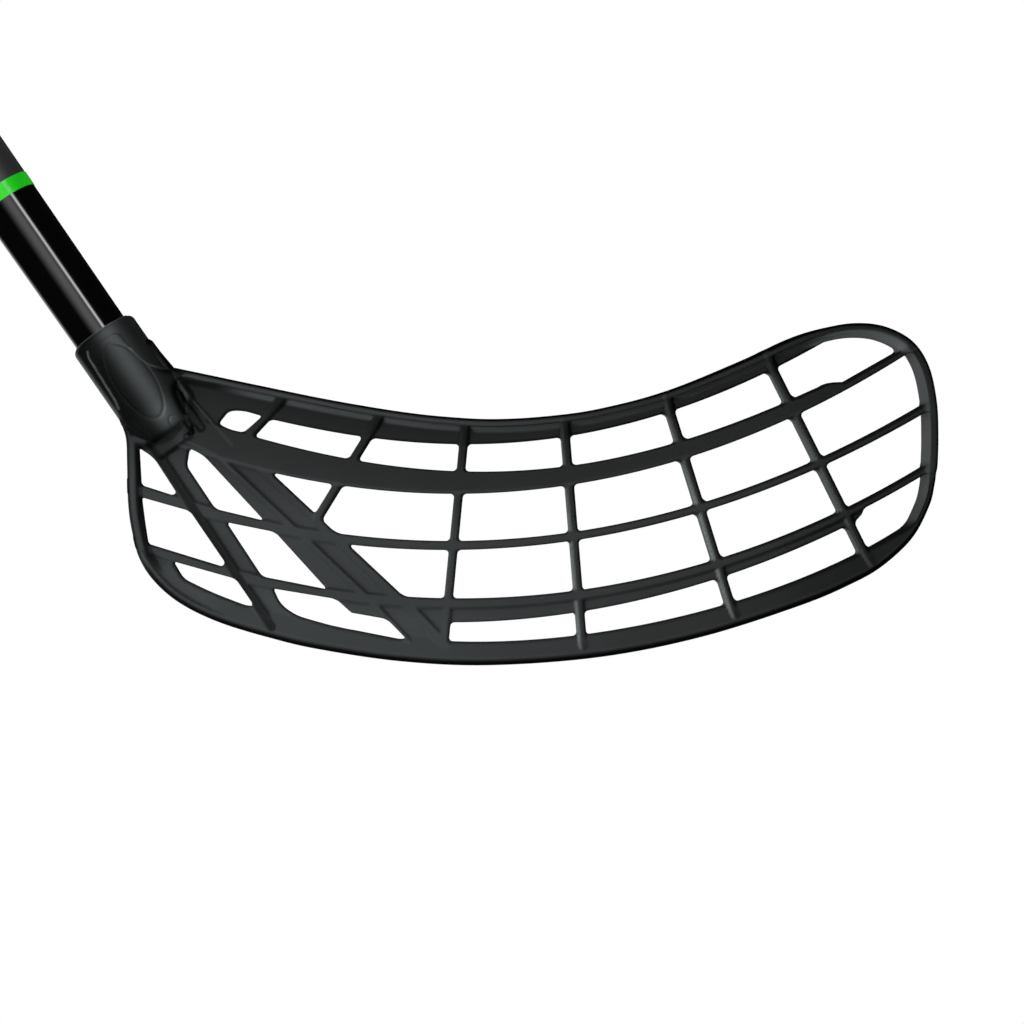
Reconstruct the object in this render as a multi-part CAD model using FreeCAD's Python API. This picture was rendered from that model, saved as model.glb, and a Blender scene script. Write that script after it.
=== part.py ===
import FreeCAD, Part
import math
import os

# A floorball stick in playing pose. The shaft's axis and the flat heel of the blade lie in the XZ plane, the
# blade points along +X, and its toe bends away towards +Y. The origin is the centre of the tube's butt end.

Vector = FreeCAD.Vector

# Stick as a whole, in millimetres and degrees
lie_angle = 55.2
shaft_length = 960.0

# Shaft: a composite tube, thin at the blade and full width from the top of its taper to the butt end
shaft_lower_diameter = 17.8
shaft_upper_diameter = 25.0
shaft_taper_length = 430.0
shaft_wall = 1.6

# Film ring round the taper
band_height = 4.8
band_thickness = 0.2
band_above_socket = 53.0

# Grip: cushioned tape round the upper shaft, closed by a narrow finishing tape
grip_length = 330.0
grip_thickness = 2.0
grip_end_thickness = 0.6
finishing_tape_width = 19.0
finishing_tape_thickness = 0.4
finishing_tape_overlap = 9.0

# Butt end cap: a plug inside the tube under a rounded head
cap_head_diameter = 28.0
cap_head_height = 5.0
cap_head_fillet = 2.2
cap_plug_length = 28.0
cap_plug_wall = 2.0
cap_plug_clearance = 0.1

# Blade: developed length along its bent face, height at its middle, and the depths of its three levels
blade_length = 267.0
blade_height = 79.0
bend_radius = 650.0
bend_start_share = 0.372
rim_depth = 10.0
lattice_depth = 7.0
web_depth = 4.5
rim_width = 2.6
heel_rim_width = 4.1
hole_corner_radius = 1.5
curve_tolerance = 0.02
cut_overrun = 3.0

# Blade ribs and ridges
rib_width = 2.9
first_rib_width = 3.7
second_rib_width = 3.3
strut_ridge_width = 2.6
centre_ridge_width = 1.5
beam_ridge_width = 3.0
rail_overlap = 1.6
ramp_step = 0.3
ramp_rim_depth = 9.2
ramp_rail_depth = 7.3
ramp_bar_depth = 6.8
ramp_sole_depth = 4.2

# Socket moulded on the blade's heel
socket_wall = 2.4
socket_clearance = 0.1
socket_depth = 38.0
socket_floor = 5.0
socket_rim_fillet = 0.9
socket_end_fillet = 5.5
shield_height = 0.5
badge_height = 0.3
badge_length = 27.0
badge_width = 11.5

# Screws through the back of the socket
screw_head_diameter = 6.4
screw_head_height = 2.0
screw_shank_diameter = 3.2
screw_shank_length = 8.0
screw_seat_depth = 1.1
screw_head_fillet = 0.7
screw_clearance = 0.1
upper_screw_place = 11.0
lower_screw_place = 26.0

# Where the socket's mouth lies on the blade, as shares of the blade's length and height
collar_share = (-0.018, 1.330)

# Blade outline from the socket along the top edge, round the toe, back along the sole and up the heel
gusset_share = (0.035, 1.322)
inside_socket_share = (0.008, 1.200)
top_run_shares = [
    (0.063, 1.205), (0.254, 1.072), (0.360, 1.015), (0.455, 0.995), (0.575, 1.038), (0.684, 1.143),
    (0.795, 1.309),
]
toe_run_shares = [(0.896, 1.393), (0.963, 1.320), (0.997, 0.958), (0.980, 0.591), (0.909, 0.369)]
sole_run_shares = [(0.699, 0.116), (0.442, 0.002), (0.241, 0.069), (0.097, 0.216)]
heel_run_shares = [(0.035, 0.382), (0.014, 0.587), (0.010, 0.813), (0.002, 0.995)]
open_sole_shares = [(0.896, 0.587), (0.922, -0.070), (0.157, -0.058), (0.139, 0.305)]

# Rows of openings: the upper and the lower edge of each row, at its start, middle and end
row_one_shares = [
    [(0.085, 1.106), (0.405, 0.892), (0.790, 1.201)],
    [(0.115, 0.975), (0.409, 0.785), (0.810, 1.077)],
]
row_one_toe_shares = [
    [(0.790, 1.201), (0.853, 1.316), (0.922, 1.466)],
    [(0.813, 1.054), (0.896, 1.189), (0.987, 1.387)],
]
row_two_shares = [
    [(-0.010, 1.007), (0.401, 0.694), (0.987, 1.343)],
    [(-0.010, 0.784), (0.393, 0.505), (1.006, 1.151)],
]
row_three_shares = [
    [(-0.010, 0.733), (0.392, 0.466), (1.006, 1.089)],
    [(-0.010, 0.554), (0.400, 0.274), (1.006, 0.877)],
]
row_four_heel_shares = [
    [(0.064, 0.424), (0.169, 0.323), (0.288, 0.248)],
    [(0.084, 0.333), (0.217, 0.194), (0.360, 0.115)],
]
row_four_shares = [
    [(0.392, 0.174), (0.551, 0.215), (0.889, 0.575)],
    [(0.390, 0.108), (0.575, 0.131), (0.905, 0.479)],
]
row_four_toe_shares = [
    [(0.886, 0.596), (0.922, 0.666), (0.987, 0.770)],
    [(0.905, 0.479), (0.948, 0.548), (0.993, 0.642)],
]
low_rail_edge_shares = [(-0.010, 0.503), (0.392, 0.237), (0.987, 0.779)]

# Closed places between the openings
shoulder_shares = [
    (-0.028, 1.273), (0.073, 1.273), (0.135, 1.056), (0.119, 0.983), (0.135, 0.943), (0.171, 0.862),
    (0.115, 0.842), (0.089, 0.874), (0.082, 0.797), (0.045, 0.834), (0.022, 0.886), (-0.010, 0.951),
]
strut_shares = [(0.033, 0.890), (0.073, 0.860), (0.207, 0.184), (0.171, 0.194)]
beam_shares = [(0.097, 0.886), (0.181, 0.805), (0.360, 0.224), (0.264, 0.248)]
beam_foot_shares = [
    (0.258, 0.289), (0.338, 0.156), (0.348, 0.103), (0.393, 0.079), (0.398, 0.248), (0.336, 0.305),
]
upper_pad_shares = [(0.793, 0.954), (0.795, 1.068), (0.853, 1.143), (0.868, 1.162), (0.886, 1.112)]
lower_pad_shares = [(0.873, 0.669), (0.904, 0.644), (0.899, 0.612), (0.886, 0.566), (0.868, 0.546)]

# Centre lines of the ribs across the rows, from the top edge down, and of the ridges on the heel's struts
first_rib_shares = [(0.196, 1.080), (0.145, 0.894)]
second_rib_shares = [(0.312, 1.003), (0.238, 0.596)]
long_rib_shares = [
    [(0.412, 0.975), (0.389, 0.063)],
    [(0.533, 0.992), (0.556, 0.082)],
    [(0.656, 1.094), (0.743, 0.180)],
    [(0.775, 1.296), (0.922, 0.369)],
]
strut_ridge_shares = [(0.038, 0.890), (0.075, 0.700), (0.151, 0.313)]
centre_ridge_shares = [
    (0.071, 0.918), (0.115, 0.866), (0.199, 0.600), (0.217, 0.535), (0.285, 0.313), (0.300, 0.265),
    (0.342, 0.115),
]
beam_ridge_shares = [(0.171, 0.809), (0.223, 0.648), (0.270, 0.495), (0.350, 0.240)]
foot_ridge_shares = [(0.336, 0.273), (0.392, 0.083)]
gusset_ridge_shares = [(0.074, 1.150), (0.137, 0.894)]

# How far down each rib its ramp from the rim ends, and where the ramp to the sole begins and ends
first_ramp_end_share = 0.92
second_ramp_end_share = 0.55
long_ramp_end_shares = [0.27, 0.27, 0.26, 0.25]
sole_ramp_start_shares = [0.76, 0.76, 0.77, 0.78]
sole_ramp_end_shares = [0.95, 0.97, 0.96, 0.95]

# Where the raised network ends inside the rim and where the sunk web begins, as shares of the rim's width
lattice_lap_share = 0.5
sunk_web_share = 1.15

# Outline of the raised shield and centre of the oval badge on the socket
shield_shares = [
    (-0.030, 1.290), (-0.007, 1.350), (0.002, 1.334), (0.014, 1.282), (0.028, 1.241), (0.040, 1.217),
    (0.085, 0.991), (0.056, 0.870), (0.014, 0.951), (-0.007, 1.088), (-0.034, 1.237),
]
badge_share = (0.018, 1.147)

# Values worked out from the sizes above
shaft_lower_radius = shaft_lower_diameter / 2
shaft_upper_radius = shaft_upper_diameter / 2
grip_radius = shaft_upper_radius + grip_thickness
tape_start = grip_length - finishing_tape_overlap
bore_radius = shaft_lower_radius + socket_clearance
socket_radius = bore_radius + socket_wall
socket_start = shaft_length - socket_depth
bend_start = bend_start_share * blade_length
screw_places = {"upper": upper_screw_place, "lower": lower_screw_place}
lie = math.radians(lie_angle)
down_the_shaft = Vector(math.cos(lie), 0, -math.sin(lie))
across = Vector(0, 1, 0)


def on_axis(distance):
    """Point of the shaft's axis at a distance from the butt end."""
    return down_the_shaft * distance


collar_offset = Vector(collar_share[0] * blade_length, 0, collar_share[1] * blade_height)
blade_corner = on_axis(socket_start) - collar_offset


def flat(share):
    """Point of the blade's flat pattern, before the toe is bent."""
    return blade_corner + Vector(share[0] * blade_length, 0, share[1] * blade_height)


def bend_turn(run):
    """Angle that the blade has turned through at a distance from its heel."""
    return max(0, run - bend_start) / bend_radius


def on_bend(point, proud=0):
    """Carry a point of the flat pattern to the bent blade, proud of its middle surface."""
    run = point.x - blade_corner.x
    turn = bend_turn(run)
    radius = bend_radius + proud
    x = blade_corner.x + min(run, bend_start) + radius * math.sin(turn)
    return Vector(x, bend_radius - radius * math.cos(turn), point.z)


def seen(share):
    """Point of the bent blade's pattern as it is seen square to the heel."""
    point = on_bend(flat(share))
    return Vector(point.x, 0, point.z)


def polygon(points):
    """Plane face with straight sides."""
    return Part.Face(Part.makePolygon(points + points[:1]))


def arc_band(upper, lower):
    """Face between two arcs that start and end together."""
    edges = [
        Part.Arc(*upper).toShape(),
        Part.makeLine(upper[2], lower[2]),
        Part.Arc(lower[2], lower[1], lower[0]).toShape(),
        Part.makeLine(lower[0], upper[0]),
    ]
    return Part.Face(Part.Wire(edges))


def strip(start, end, width):
    """Flat strip of one width along a line in the blade's plane."""
    side = (end - start).cross(across).normalize() * (width / 2)
    return polygon([start + side, end + side, end - side, start - side])


def ridge_strips(points, width):
    """Strips along a line of points, with round joints between them."""
    faces = [strip(start, end, width) for start, end in zip(points, points[1:])]
    joints = [Part.Face(Part.Wire(Part.makeCircle(width / 2, point, across))) for point in points[1:-1]]
    return faces + joints


def between(line, share):
    """Point at a share of the way along a rib's centre line."""
    return line[0] + (line[1] - line[0]) * share


def outline_points(place):
    """Points of the blade's outline, from the top edge round to the heel."""
    return [place(share) for share in top_run_shares + toe_run_shares + sole_run_shares + heel_run_shares]


def spline(points):
    """Smooth curve through points."""
    curve = Part.BSplineCurve()
    curve.interpolate(points)
    return curve


def arcs(curve):
    """Edges of a smooth curve as tangent arcs."""
    return [arc.toShape() for arc in curve.toBiArcs(curve_tolerance)]


def outline_face(place):
    """The blade's whole outline, closed inside the socket."""
    curve = spline(outline_points(place))
    corner = place(gusset_share)
    inside = place(inside_socket_share)
    sides = [
        Part.makeLine(curve.EndPoint, inside),
        Part.makeLine(inside, corner),
        Part.makeLine(corner, curve.StartPoint),
    ]
    return Part.Face(Part.Wire(arcs(curve) + sides))


def inner_face(place, width_share):
    """What the rim encloses: the outline drawn in by a share of the rim's width."""
    points = outline_points(place)
    curve = spline(points)
    inner_points = []
    for number, point in enumerate(points):
        tangent = curve.tangent(curve.parameter(point))[0]
        at_heel = number >= len(points) - len(heel_run_shares)
        width = heel_rim_width if at_heel else rim_width
        inner_points.append(point + across.cross(tangent) * (width * width_share))
    inner = spline(inner_points)
    return Part.Face(Part.Wire(arcs(inner) + [Part.makeLine(inner.EndPoint, inner.StartPoint)]))


def prism(face):
    """Face of the blade's plane carried straight through the whole bend."""
    start = face.copy()
    start.translate(across * -blade_length)
    return start.extrude(across * (2 * blade_length))


def bent_sheet(depth):
    """Sheet of one depth that follows the bend, larger than the blade all round."""
    half = depth / 2
    heel = blade_corner - Vector(blade_length, 0, blade_height)
    bend = blade_corner + Vector(bend_start, 0, -blade_height)
    middle = blade_corner + Vector(blade_length, 0, -blade_height)
    toe = middle + Vector(blade_length - bend_start, 0, 0)
    front = [on_bend(point, half) for point in (heel, bend, middle, toe)]
    back = [on_bend(point, -half) for point in (heel, bend, middle, toe)]
    edges = [
        Part.makeLine(front[0], front[1]),
        Part.Arc(*front[1:]).toShape(),
        Part.makeLine(front[3], back[3]),
        Part.Arc(back[3], back[2], back[1]).toShape(),
        Part.makeLine(back[1], back[0]),
        Part.makeLine(back[0], front[0]),
    ]
    return Part.Face(Part.Wire(edges)).extrude(Vector(0, 0, 4 * blade_height))


def rib_lines(place):
    """Centre line and width of every rib, from the heel to the toe."""
    lines = [(first_rib_shares, first_rib_width), (second_rib_shares, second_rib_width)]
    lines += [(shares, rib_width) for shares in long_rib_shares]
    return [([place(share) for share in shares], width) for shares, width in lines]


def opening_faces():
    """Every through opening of the lattice on the flat pattern, with round corners."""
    ribs = [strip(line[0], line[1], width) for line, width in rib_lines(flat)]
    solid_places = [
        shoulder_shares, strut_shares, beam_shares, beam_foot_shares, upper_pad_shares, lower_pad_shares,
    ]
    closed = [polygon([flat(share) for share in shares]) for shares in solid_places]
    inner = inner_face(flat, 1)
    rows = [
        (row_one_shares, ribs), (row_one_toe_shares, ribs), (row_two_shares, ribs[1:]),
        (row_three_shares, ribs[2:]), (row_four_heel_shares, []), (row_four_shares, ribs[2:]),
        (row_four_toe_shares, ribs[5:]),
    ]
    faces = []
    for (upper, lower), row_ribs in rows:
        row = arc_band([flat(share) for share in upper], [flat(share) for share in lower])
        for cell in row.common(inner).cut(row_ribs + closed).Faces:
            drawn_in = cell.makeOffset2D(-hole_corner_radius)
            faces += drawn_in.makeOffset2D(hole_corner_radius).Faces
    return faces


def opening_cut(face):
    """Cutter for one opening, square to the bent blade at the opening's middle."""
    middle = face.CenterOfMass
    reach = rim_depth + cut_overrun
    cutter = face.copy()
    cutter.translate(on_bend(middle) - middle - across * reach)
    cutter = cutter.extrude(across * (2 * reach))
    turn = bend_turn(middle.x - blade_corner.x)
    cutter.rotate(on_bend(middle), Vector(0, 0, 1), math.degrees(turn))
    return cutter


def lattice_face():
    """The raised network of rails, ribs and strut ridges."""
    up = Vector(0, 0, rail_overlap)
    rails = [(row_one_shares[1], row_two_shares[0]), (row_two_shares[1], row_three_shares[0])]
    faces = [
        arc_band([seen(share) + up for share in upper], [seen(share) - up for share in lower])
        for upper, lower in rails
    ]
    low_rail_top = [seen(share) + up for share in row_three_shares[1]]
    faces.append(arc_band(low_rail_top, [seen(share) for share in low_rail_edge_shares]))
    lines = rib_lines(seen)
    second_line = lines[1][0]
    second_start = between(second_line, second_ramp_end_share)
    faces.append(strip(second_start, second_line[1], second_rib_width + rail_overlap))
    for (line, width), ramp_end, ramp_start in zip(lines[2:], long_ramp_end_shares, sole_ramp_start_shares):
        faces.append(strip(between(line, ramp_end), between(line, ramp_start), width + rail_overlap))
    ridges = [
        (strut_ridge_shares, strut_ridge_width), (centre_ridge_shares, centre_ridge_width),
        (beam_ridge_shares, beam_ridge_width), (foot_ridge_shares, centre_ridge_width),
        (gusset_ridge_shares, centre_ridge_width),
    ]
    for shares, width in ridges:
        faces += ridge_strips([seen(share) for share in shares], width)
    network = faces[0].fuse(faces[1:]).removeSplitter()
    return network.common(inner_face(seen, lattice_lap_share))


def ramp(start, end, width, start_depth, end_depth):
    """Rib bar whose depth changes from one end to the other, square to the bend at each end."""
    side = (end - start).cross(across).normalize() * (width / 2)
    sections = []
    for point, depth in ((start, start_depth), (end, end_depth)):
        turned = FreeCAD.Rotation(Vector(0, 0, 1), math.degrees(bend_turn(point.x - blade_corner.x)))
        middle = on_bend(point)
        edge = turned.multVec(side)
        out = turned.multVec(across) * (depth / 2)
        corners = [middle + edge + out, middle - edge + out, middle - edge - out, middle + edge - out]
        sections.append(Part.makePolygon(corners + corners[:1]))
    return Part.makeLoft(sections, True, True)


def ramps():
    """Bars of the top row, which fall from the rim, and of the lowest row, which fade into the sole."""
    lines = rib_lines(flat)
    tops = [first_ramp_end_share, second_ramp_end_share] + long_ramp_end_shares
    bars = [
        ramp(line[0], between(line, end), width - 2 * ramp_step, ramp_rim_depth, ramp_rail_depth)
        for (line, width), end in zip(lines, tops)
    ]
    for (line, width), start, end in zip(lines[2:], sole_ramp_start_shares, sole_ramp_end_shares):
        ends = (between(line, start), between(line, end))
        bars.append(ramp(*ends, width - 2 * ramp_step, ramp_bar_depth, ramp_sole_depth))
    return bars


def make_socket():
    """Tube that takes the shaft, with its raised shield and oval badge on the front."""
    length = socket_depth + socket_floor
    tube = Part.makeCylinder(socket_radius, length, on_axis(socket_start), down_the_shaft)
    circles = [edge for edge in tube.Edges if edge.Curve.TypeId == "Part::GeomCircle"]
    mouth = min(circles, key=lambda edge: edge.CenterOfMass.x)
    tube = tube.makeFillet(socket_rim_fillet, [mouth])
    end = max(
        [edge for edge in tube.Edges if edge.Curve.TypeId == "Part::GeomCircle"],
        key=lambda edge: edge.CenterOfMass.x,
    )
    tube = tube.makeFillet(socket_end_fillet, [end])
    reach = across * -(socket_radius + cut_overrun)
    shield_radius = socket_radius + shield_height
    shield = polygon([flat(share) for share in shield_shares]).extrude(reach)
    shield = shield.common(Part.makeCylinder(shield_radius, length, on_axis(socket_start), down_the_shaft))
    oval = Part.Ellipse(flat(badge_share), badge_length / 2, badge_width / 2)
    oval.Axis = across
    oval.XAxis = down_the_shaft
    badge = Part.Face(Part.Wire(oval.toShape())).extrude(reach)
    badge_radius = shield_radius + badge_height
    badge = badge.common(Part.makeCylinder(badge_radius, length, on_axis(socket_start), down_the_shaft))
    return tube.fuse([shield, badge])


def screw_axis_point(place):
    """Where a screw's axis crosses the shaft's axis."""
    return on_axis(socket_start + place)


def screw_hole(place):
    """Round hole for a screw's shank, from the shaft's axis out through the back of the socket."""
    radius = screw_shank_diameter / 2 + screw_clearance
    return Part.makeCylinder(radius, socket_radius, screw_axis_point(place), across)


def make_blade():
    """The moulding: rim, web, lattice with its openings, ramped ribs and socket."""
    outline = prism(outline_face(seen))
    inner = inner_face(seen, sunk_web_share).fuse(polygon([seen(share) for share in open_sole_shares])).removeSplitter()
    hollow = prism(inner).cut(bent_sheet(web_depth))
    blade = outline.common(bent_sheet(rim_depth)).cut(hollow)
    blade = blade.fuse(prism(lattice_face()).common(bent_sheet(lattice_depth)))
    blade = blade.cut([opening_cut(face) for face in opening_faces()])
    blade = blade.fuse(ramps() + [make_socket()])
    mouth = on_axis(socket_start - cut_overrun)
    cuts = [Part.makeCylinder(bore_radius, socket_depth + cut_overrun, mouth, down_the_shaft)]
    seat_radius = screw_head_diameter / 2 + screw_clearance
    for place in screw_places.values():
        seat = screw_axis_point(place) + across * (socket_radius - screw_seat_depth)
        cuts.append(screw_hole(place))
        cuts.append(Part.makeCylinder(seat_radius, cut_overrun, seat, across))
    return blade.cut(cuts).removeSplitter()


def upright(profile):
    """Turn a profile in the XZ plane round the Z axis and lean it to the shaft, butt end at the origin."""
    points = [Vector(radius, 0, -distance) for radius, distance in profile]
    solid = polygon(points).revolve(Vector(0, 0, 0), Vector(0, 0, 1), 360)
    solid.rotate(Vector(0, 0, 0), across, lie_angle - 90)
    return solid


def shaft_radius_at(distance):
    """Outer radius of the shaft at a distance from the butt end."""
    share = (socket_start - distance) / shaft_taper_length
    grown = min(max(share, 0), 1)
    return shaft_lower_radius + (shaft_upper_radius - shaft_lower_radius) * grown


def make_shaft():
    """Tapered tube with the two screw holes at its blade end."""
    taper_start = socket_start - shaft_taper_length
    stations = [0, taper_start, socket_start, shaft_length]
    outer = [(shaft_radius_at(distance), distance) for distance in stations]
    inner = [(radius - shaft_wall, distance) for radius, distance in reversed(outer)]
    return upright(outer + inner).cut([screw_hole(place) for place in screw_places.values()])


def make_shaft_band():
    """Thin film ring that follows the taper."""
    low = socket_start - band_above_socket
    high = low - band_height
    inner = [(shaft_radius_at(high), high), (shaft_radius_at(low), low)]
    outer = [(radius + band_thickness, distance) for radius, distance in reversed(inner)]
    return upright(inner + outer)


def make_grip_wrap():
    """Cushioned sleeve of wound tape, pressed to a thin end under the finishing tape."""
    pressed_radius = grip_radius - finishing_tape_thickness
    end_radius = shaft_upper_radius + grip_end_thickness
    return upright([
        (shaft_upper_radius, 0), (grip_radius, 0), (grip_radius, tape_start), (pressed_radius, tape_start),
        (end_radius, grip_length), (shaft_upper_radius, grip_length),
    ])


def make_finishing_tape():
    """Narrow tape that laps the thin end of the grip and the bare shaft."""
    tape_end = tape_start + finishing_tape_width
    end_radius = shaft_upper_radius + grip_end_thickness
    inner = [
        (grip_radius - finishing_tape_thickness, tape_start), (end_radius, grip_length),
        (shaft_upper_radius, grip_length), (shaft_upper_radius, tape_end),
    ]
    low_radius = shaft_upper_radius + finishing_tape_thickness
    outer = [
        (low_radius, tape_end), (low_radius, grip_length + grip_end_thickness),
        (end_radius + finishing_tape_thickness, grip_length), (grip_radius, tape_start),
    ]
    return upright(inner + outer)


def make_end_cap():
    """Hollow plug with a rounded head that closes the butt end."""
    plug_radius = shaft_upper_radius - shaft_wall - cap_plug_clearance
    plug_inner = plug_radius - cap_plug_wall
    head_radius = cap_head_diameter / 2
    cap = upright([
        (0, -cap_head_height), (head_radius, -cap_head_height), (head_radius, 0), (plug_radius, 0),
        (plug_radius, cap_plug_length), (plug_inner, cap_plug_length), (plug_inner, 0), (0, 0),
    ])
    top_rim = min(cap.Edges, key=lambda edge: (edge.CenterOfMass.dot(down_the_shaft), -edge.Length))
    return cap.makeFillet(cap_head_fillet, [top_rim])


def make_screw(place):
    """Pan head and plain shank of one self-tapping screw."""
    seat = screw_axis_point(place) + across * (socket_radius - screw_seat_depth)
    head = Part.makeCylinder(screw_head_diameter / 2, screw_head_height, seat, across)
    rim = max(head.Edges, key=lambda edge: edge.CenterOfMass.y)
    head = head.makeFillet(screw_head_fillet, [rim])
    shank = Part.makeCylinder(screw_shank_diameter / 2, screw_shank_length, seat, across * -1)
    return head.fuse(shank).removeSplitter()


parts = {
    "blade": make_blade(),
    "shaft": make_shaft(),
    "shaft_band": make_shaft_band(),
    "grip_wrap": make_grip_wrap(),
    "grip_finishing_tape": make_finishing_tape(),
    "end_cap": make_end_cap(),
}
for name, place in screw_places.items():
    parts["blade_screw_" + name] = make_screw(place)

os.makedirs("parts", exist_ok=True)
for name, shape in parts.items():
    print(name, shape.isValid(), len(shape.Solids), round(shape.Volume, 1))
    shape.exportStep("parts/" + name + ".step")
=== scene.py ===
"""Dressed floorball stick: moulded lattice blade, glossy shaft and taped grip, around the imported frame."""

import logging
import math
from dataclasses import dataclass, field
from enum import Enum
from typing import Callable, Optional, Sequence, Union

import bmesh
import bpy
import numpy as np
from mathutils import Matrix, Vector


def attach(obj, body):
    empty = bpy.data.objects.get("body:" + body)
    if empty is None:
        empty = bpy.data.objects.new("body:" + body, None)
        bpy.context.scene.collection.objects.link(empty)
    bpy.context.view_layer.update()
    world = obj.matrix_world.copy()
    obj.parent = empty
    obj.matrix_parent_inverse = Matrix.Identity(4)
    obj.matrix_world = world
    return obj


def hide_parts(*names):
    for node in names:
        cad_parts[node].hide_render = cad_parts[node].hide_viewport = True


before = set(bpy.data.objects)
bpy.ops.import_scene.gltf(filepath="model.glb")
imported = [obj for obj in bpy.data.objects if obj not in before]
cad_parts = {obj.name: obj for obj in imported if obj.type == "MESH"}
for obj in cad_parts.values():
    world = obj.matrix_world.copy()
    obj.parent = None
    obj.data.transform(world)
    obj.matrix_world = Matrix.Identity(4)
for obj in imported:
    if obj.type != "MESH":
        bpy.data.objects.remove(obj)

Array = np.ndarray
Points = Sequence[tuple[float, float]]
Span = tuple[float, float]
Output = bpy.types.NodeSocket
LOG = logging.getLogger("floorball_stick")
MM = 0.001
BODY = "root"

# Limits and rounds of the mesh tools and the curves
WELD_MM = 0.001
SHARP_ANGLE = math.radians(40.0)
SHORT_SHARE = 0.55
EVEN_ROUNDS = 3
SHORT_ROUNDS = 3
DRAW_ROUNDS = 4
SIGHT_ROUNDS = 6
PROBE_PARTS = 20
LEAST_SLOPE_SQUARED = 0.25
LEAST_LENGTH = 1e-6
RAIL_DEGREE = 4


# Number tools shared by the surfaces

def smooth(low: float, high: float, value: Array) -> Array:
    """Smooth step from 0 at low to 1 at high: 3t^2 - 2t^3 of the clipped share t."""
    t = np.clip((value - low) / (high - low), 0.0, 1.0)
    return t * t * (3.0 - 2.0 * t)


def fall(span: Span, value: Array) -> Array:
    """Smooth step down, from 1 at the span's start to 0 at its end."""
    return 1.0 - smooth(*span, value)


def edge_drop(radius: float, gap: Array) -> Array:
    """How far a round edge lies below its face: the radius less the root of its square less the lack's."""
    lack = np.clip(radius - gap, 0.0, radius)
    return radius - np.sqrt(radius**2 - lack**2)


def full_turn(sides: int) -> Array:
    """Even angles once round, without the repeated last one."""
    return np.linspace(0.0, 2 * math.pi, sides, endpoint=False)


def blend_up(a: Array, b: Array, reach: float) -> Array:
    """Greater of two heights with a fillet: the cross-over is rounded over the given reach."""
    share = np.clip(0.5 + 0.5 * (a - b) / reach, 0.0, 1.0)
    return b + (a - b) * share + reach * share * (1.0 - share)


def round_inside(gaps: Sequence[Array], radius: float) -> Array:
    """Signed depth inside a region bounded by several edges, with round corners.

    The corner formula is max(r, least gap) minus the root of the summed squares of what each gap lacks of r.

    Args:
        gaps: Signed distance to each edge, positive inside.
        radius: Corner radius.

    Returns:
        Depth inside the rounded region, negative outside.
    """
    least = np.minimum.reduce(gaps)
    lack = sum(np.square(np.maximum(radius - gap, 0.0)) for gap in gaps)
    return np.maximum(radius, least) - np.sqrt(lack)


def side_gap(start: Array, end: Array, u: Array, w: Array) -> Array:
    """Signed distance from a line, positive towards the toe for a line that runs downwards."""
    run = end - start
    return ((u - start[0]) * -run[1] + (w - start[1]) * run[0]) / np.hypot(*run)


def polygon_gaps(points: Array, u: Array, w: Array) -> list[Array]:
    """Signed distance to each side of a convex polygon.

    Args:
        points: Its corners in order, one per row.
        u: First coordinates.
        w: Second coordinates.

    Returns:
        One array for each side, positive inside.
    """
    after = np.roll(points, -1, axis=0)
    area = np.sum(points[:, 0] * after[:, 1] - after[:, 0] * points[:, 1])
    return [np.sign(area) * side_gap(a, b, u, w) for a, b in zip(points, after)]


def line_distance(points: Array, u: Array, w: Array) -> Array:
    """Distance to a chain of straight segments.

    Args:
        points: Corners of the chain, one per row.
        u: First coordinates.
        w: Second coordinates.

    Returns:
        Least distance to any segment of the chain.
    """
    best = np.full(np.shape(u), np.inf)
    for (au, aw), (bu, bw) in zip(points[:-1], points[1:]):
        ru, rw = bu - au, bw - aw
        share = np.clip(((u - au) * ru + (w - aw) * rw) / (ru * ru + rw * rw), 0.0, 1.0)
        best = np.minimum(best, np.square(u - au - share * ru) + np.square(w - aw - share * rw))
    return np.sqrt(best)


def loop_gap(points: Array, u: Array, w: Array) -> Array:
    """Signed distance inside a closed loop.

    The sign is the even and odd test: a ray to the left crosses the loop an odd number of times from inside.

    Args:
        points: Corners of the loop, one per row.
        u: First coordinates.
        w: Second coordinates.

    Returns:
        Distance to the loop, negative outside.
    """
    odd = np.zeros(np.shape(u), dtype=bool)
    for (au, aw), (bu, bw) in zip(points, np.roll(points, -1, axis=0)):
        if aw != bw:
            cross = au + (w - aw) * (bu - au) / (bw - aw)
            odd ^= ((aw > w) != (bw > w)) & (u < cross)
    return np.where(odd, 1.0, -1.0) * line_distance(np.vstack([points, points[:1]]), u, w)


def smooth_run(points: Array, steps: int) -> Array:
    """Catmull-Rom curve through points: each span is a cubic whose end slopes are the neighbours' chords.

    Args:
        points: Points of the curve, one per row.
        steps: Steps in each span.

    Returns:
        Points along the curve, one per row.
    """
    padded = np.vstack([2 * points[0] - points[1], points, 2 * points[-1] - points[-2]])
    t = np.linspace(0.0, 1.0, steps, endpoint=False)[None, :, None]
    p0, p1, p2, p3 = (padded[k:len(padded) - 3 + k, None, :] for k in range(4))
    spans = 0.5 * (2 * p1 + (p2 - p0) * t + (2 * p0 - 5 * p1 + 4 * p2 - p3) * t**2
                   + (3 * p1 - p0 - 3 * p2 + p3) * t**3)
    return np.vstack([spans.reshape(-1, points.shape[1]), points[-1:]])


# Mesh tools

def grid_faces(rows: int, columns: int, wrap: bool) -> Array:
    """Quads of a grid of points, row by row.

    Args:
        rows: Points along the first parameter.
        columns: Points along the second parameter.
        wrap: Whether the last column joins the first.

    Returns:
        Corner numbers, four per face.
    """
    index = np.arange(rows * columns).reshape(rows, columns)
    if wrap:
        index = np.hstack([index, index[:, :1]])
    a, b, c, d = index[:-1, :-1], index[1:, :-1], index[1:, 1:], index[:-1, 1:]
    return np.stack([a, b, c, d], axis=-1).reshape(-1, 4)


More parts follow.
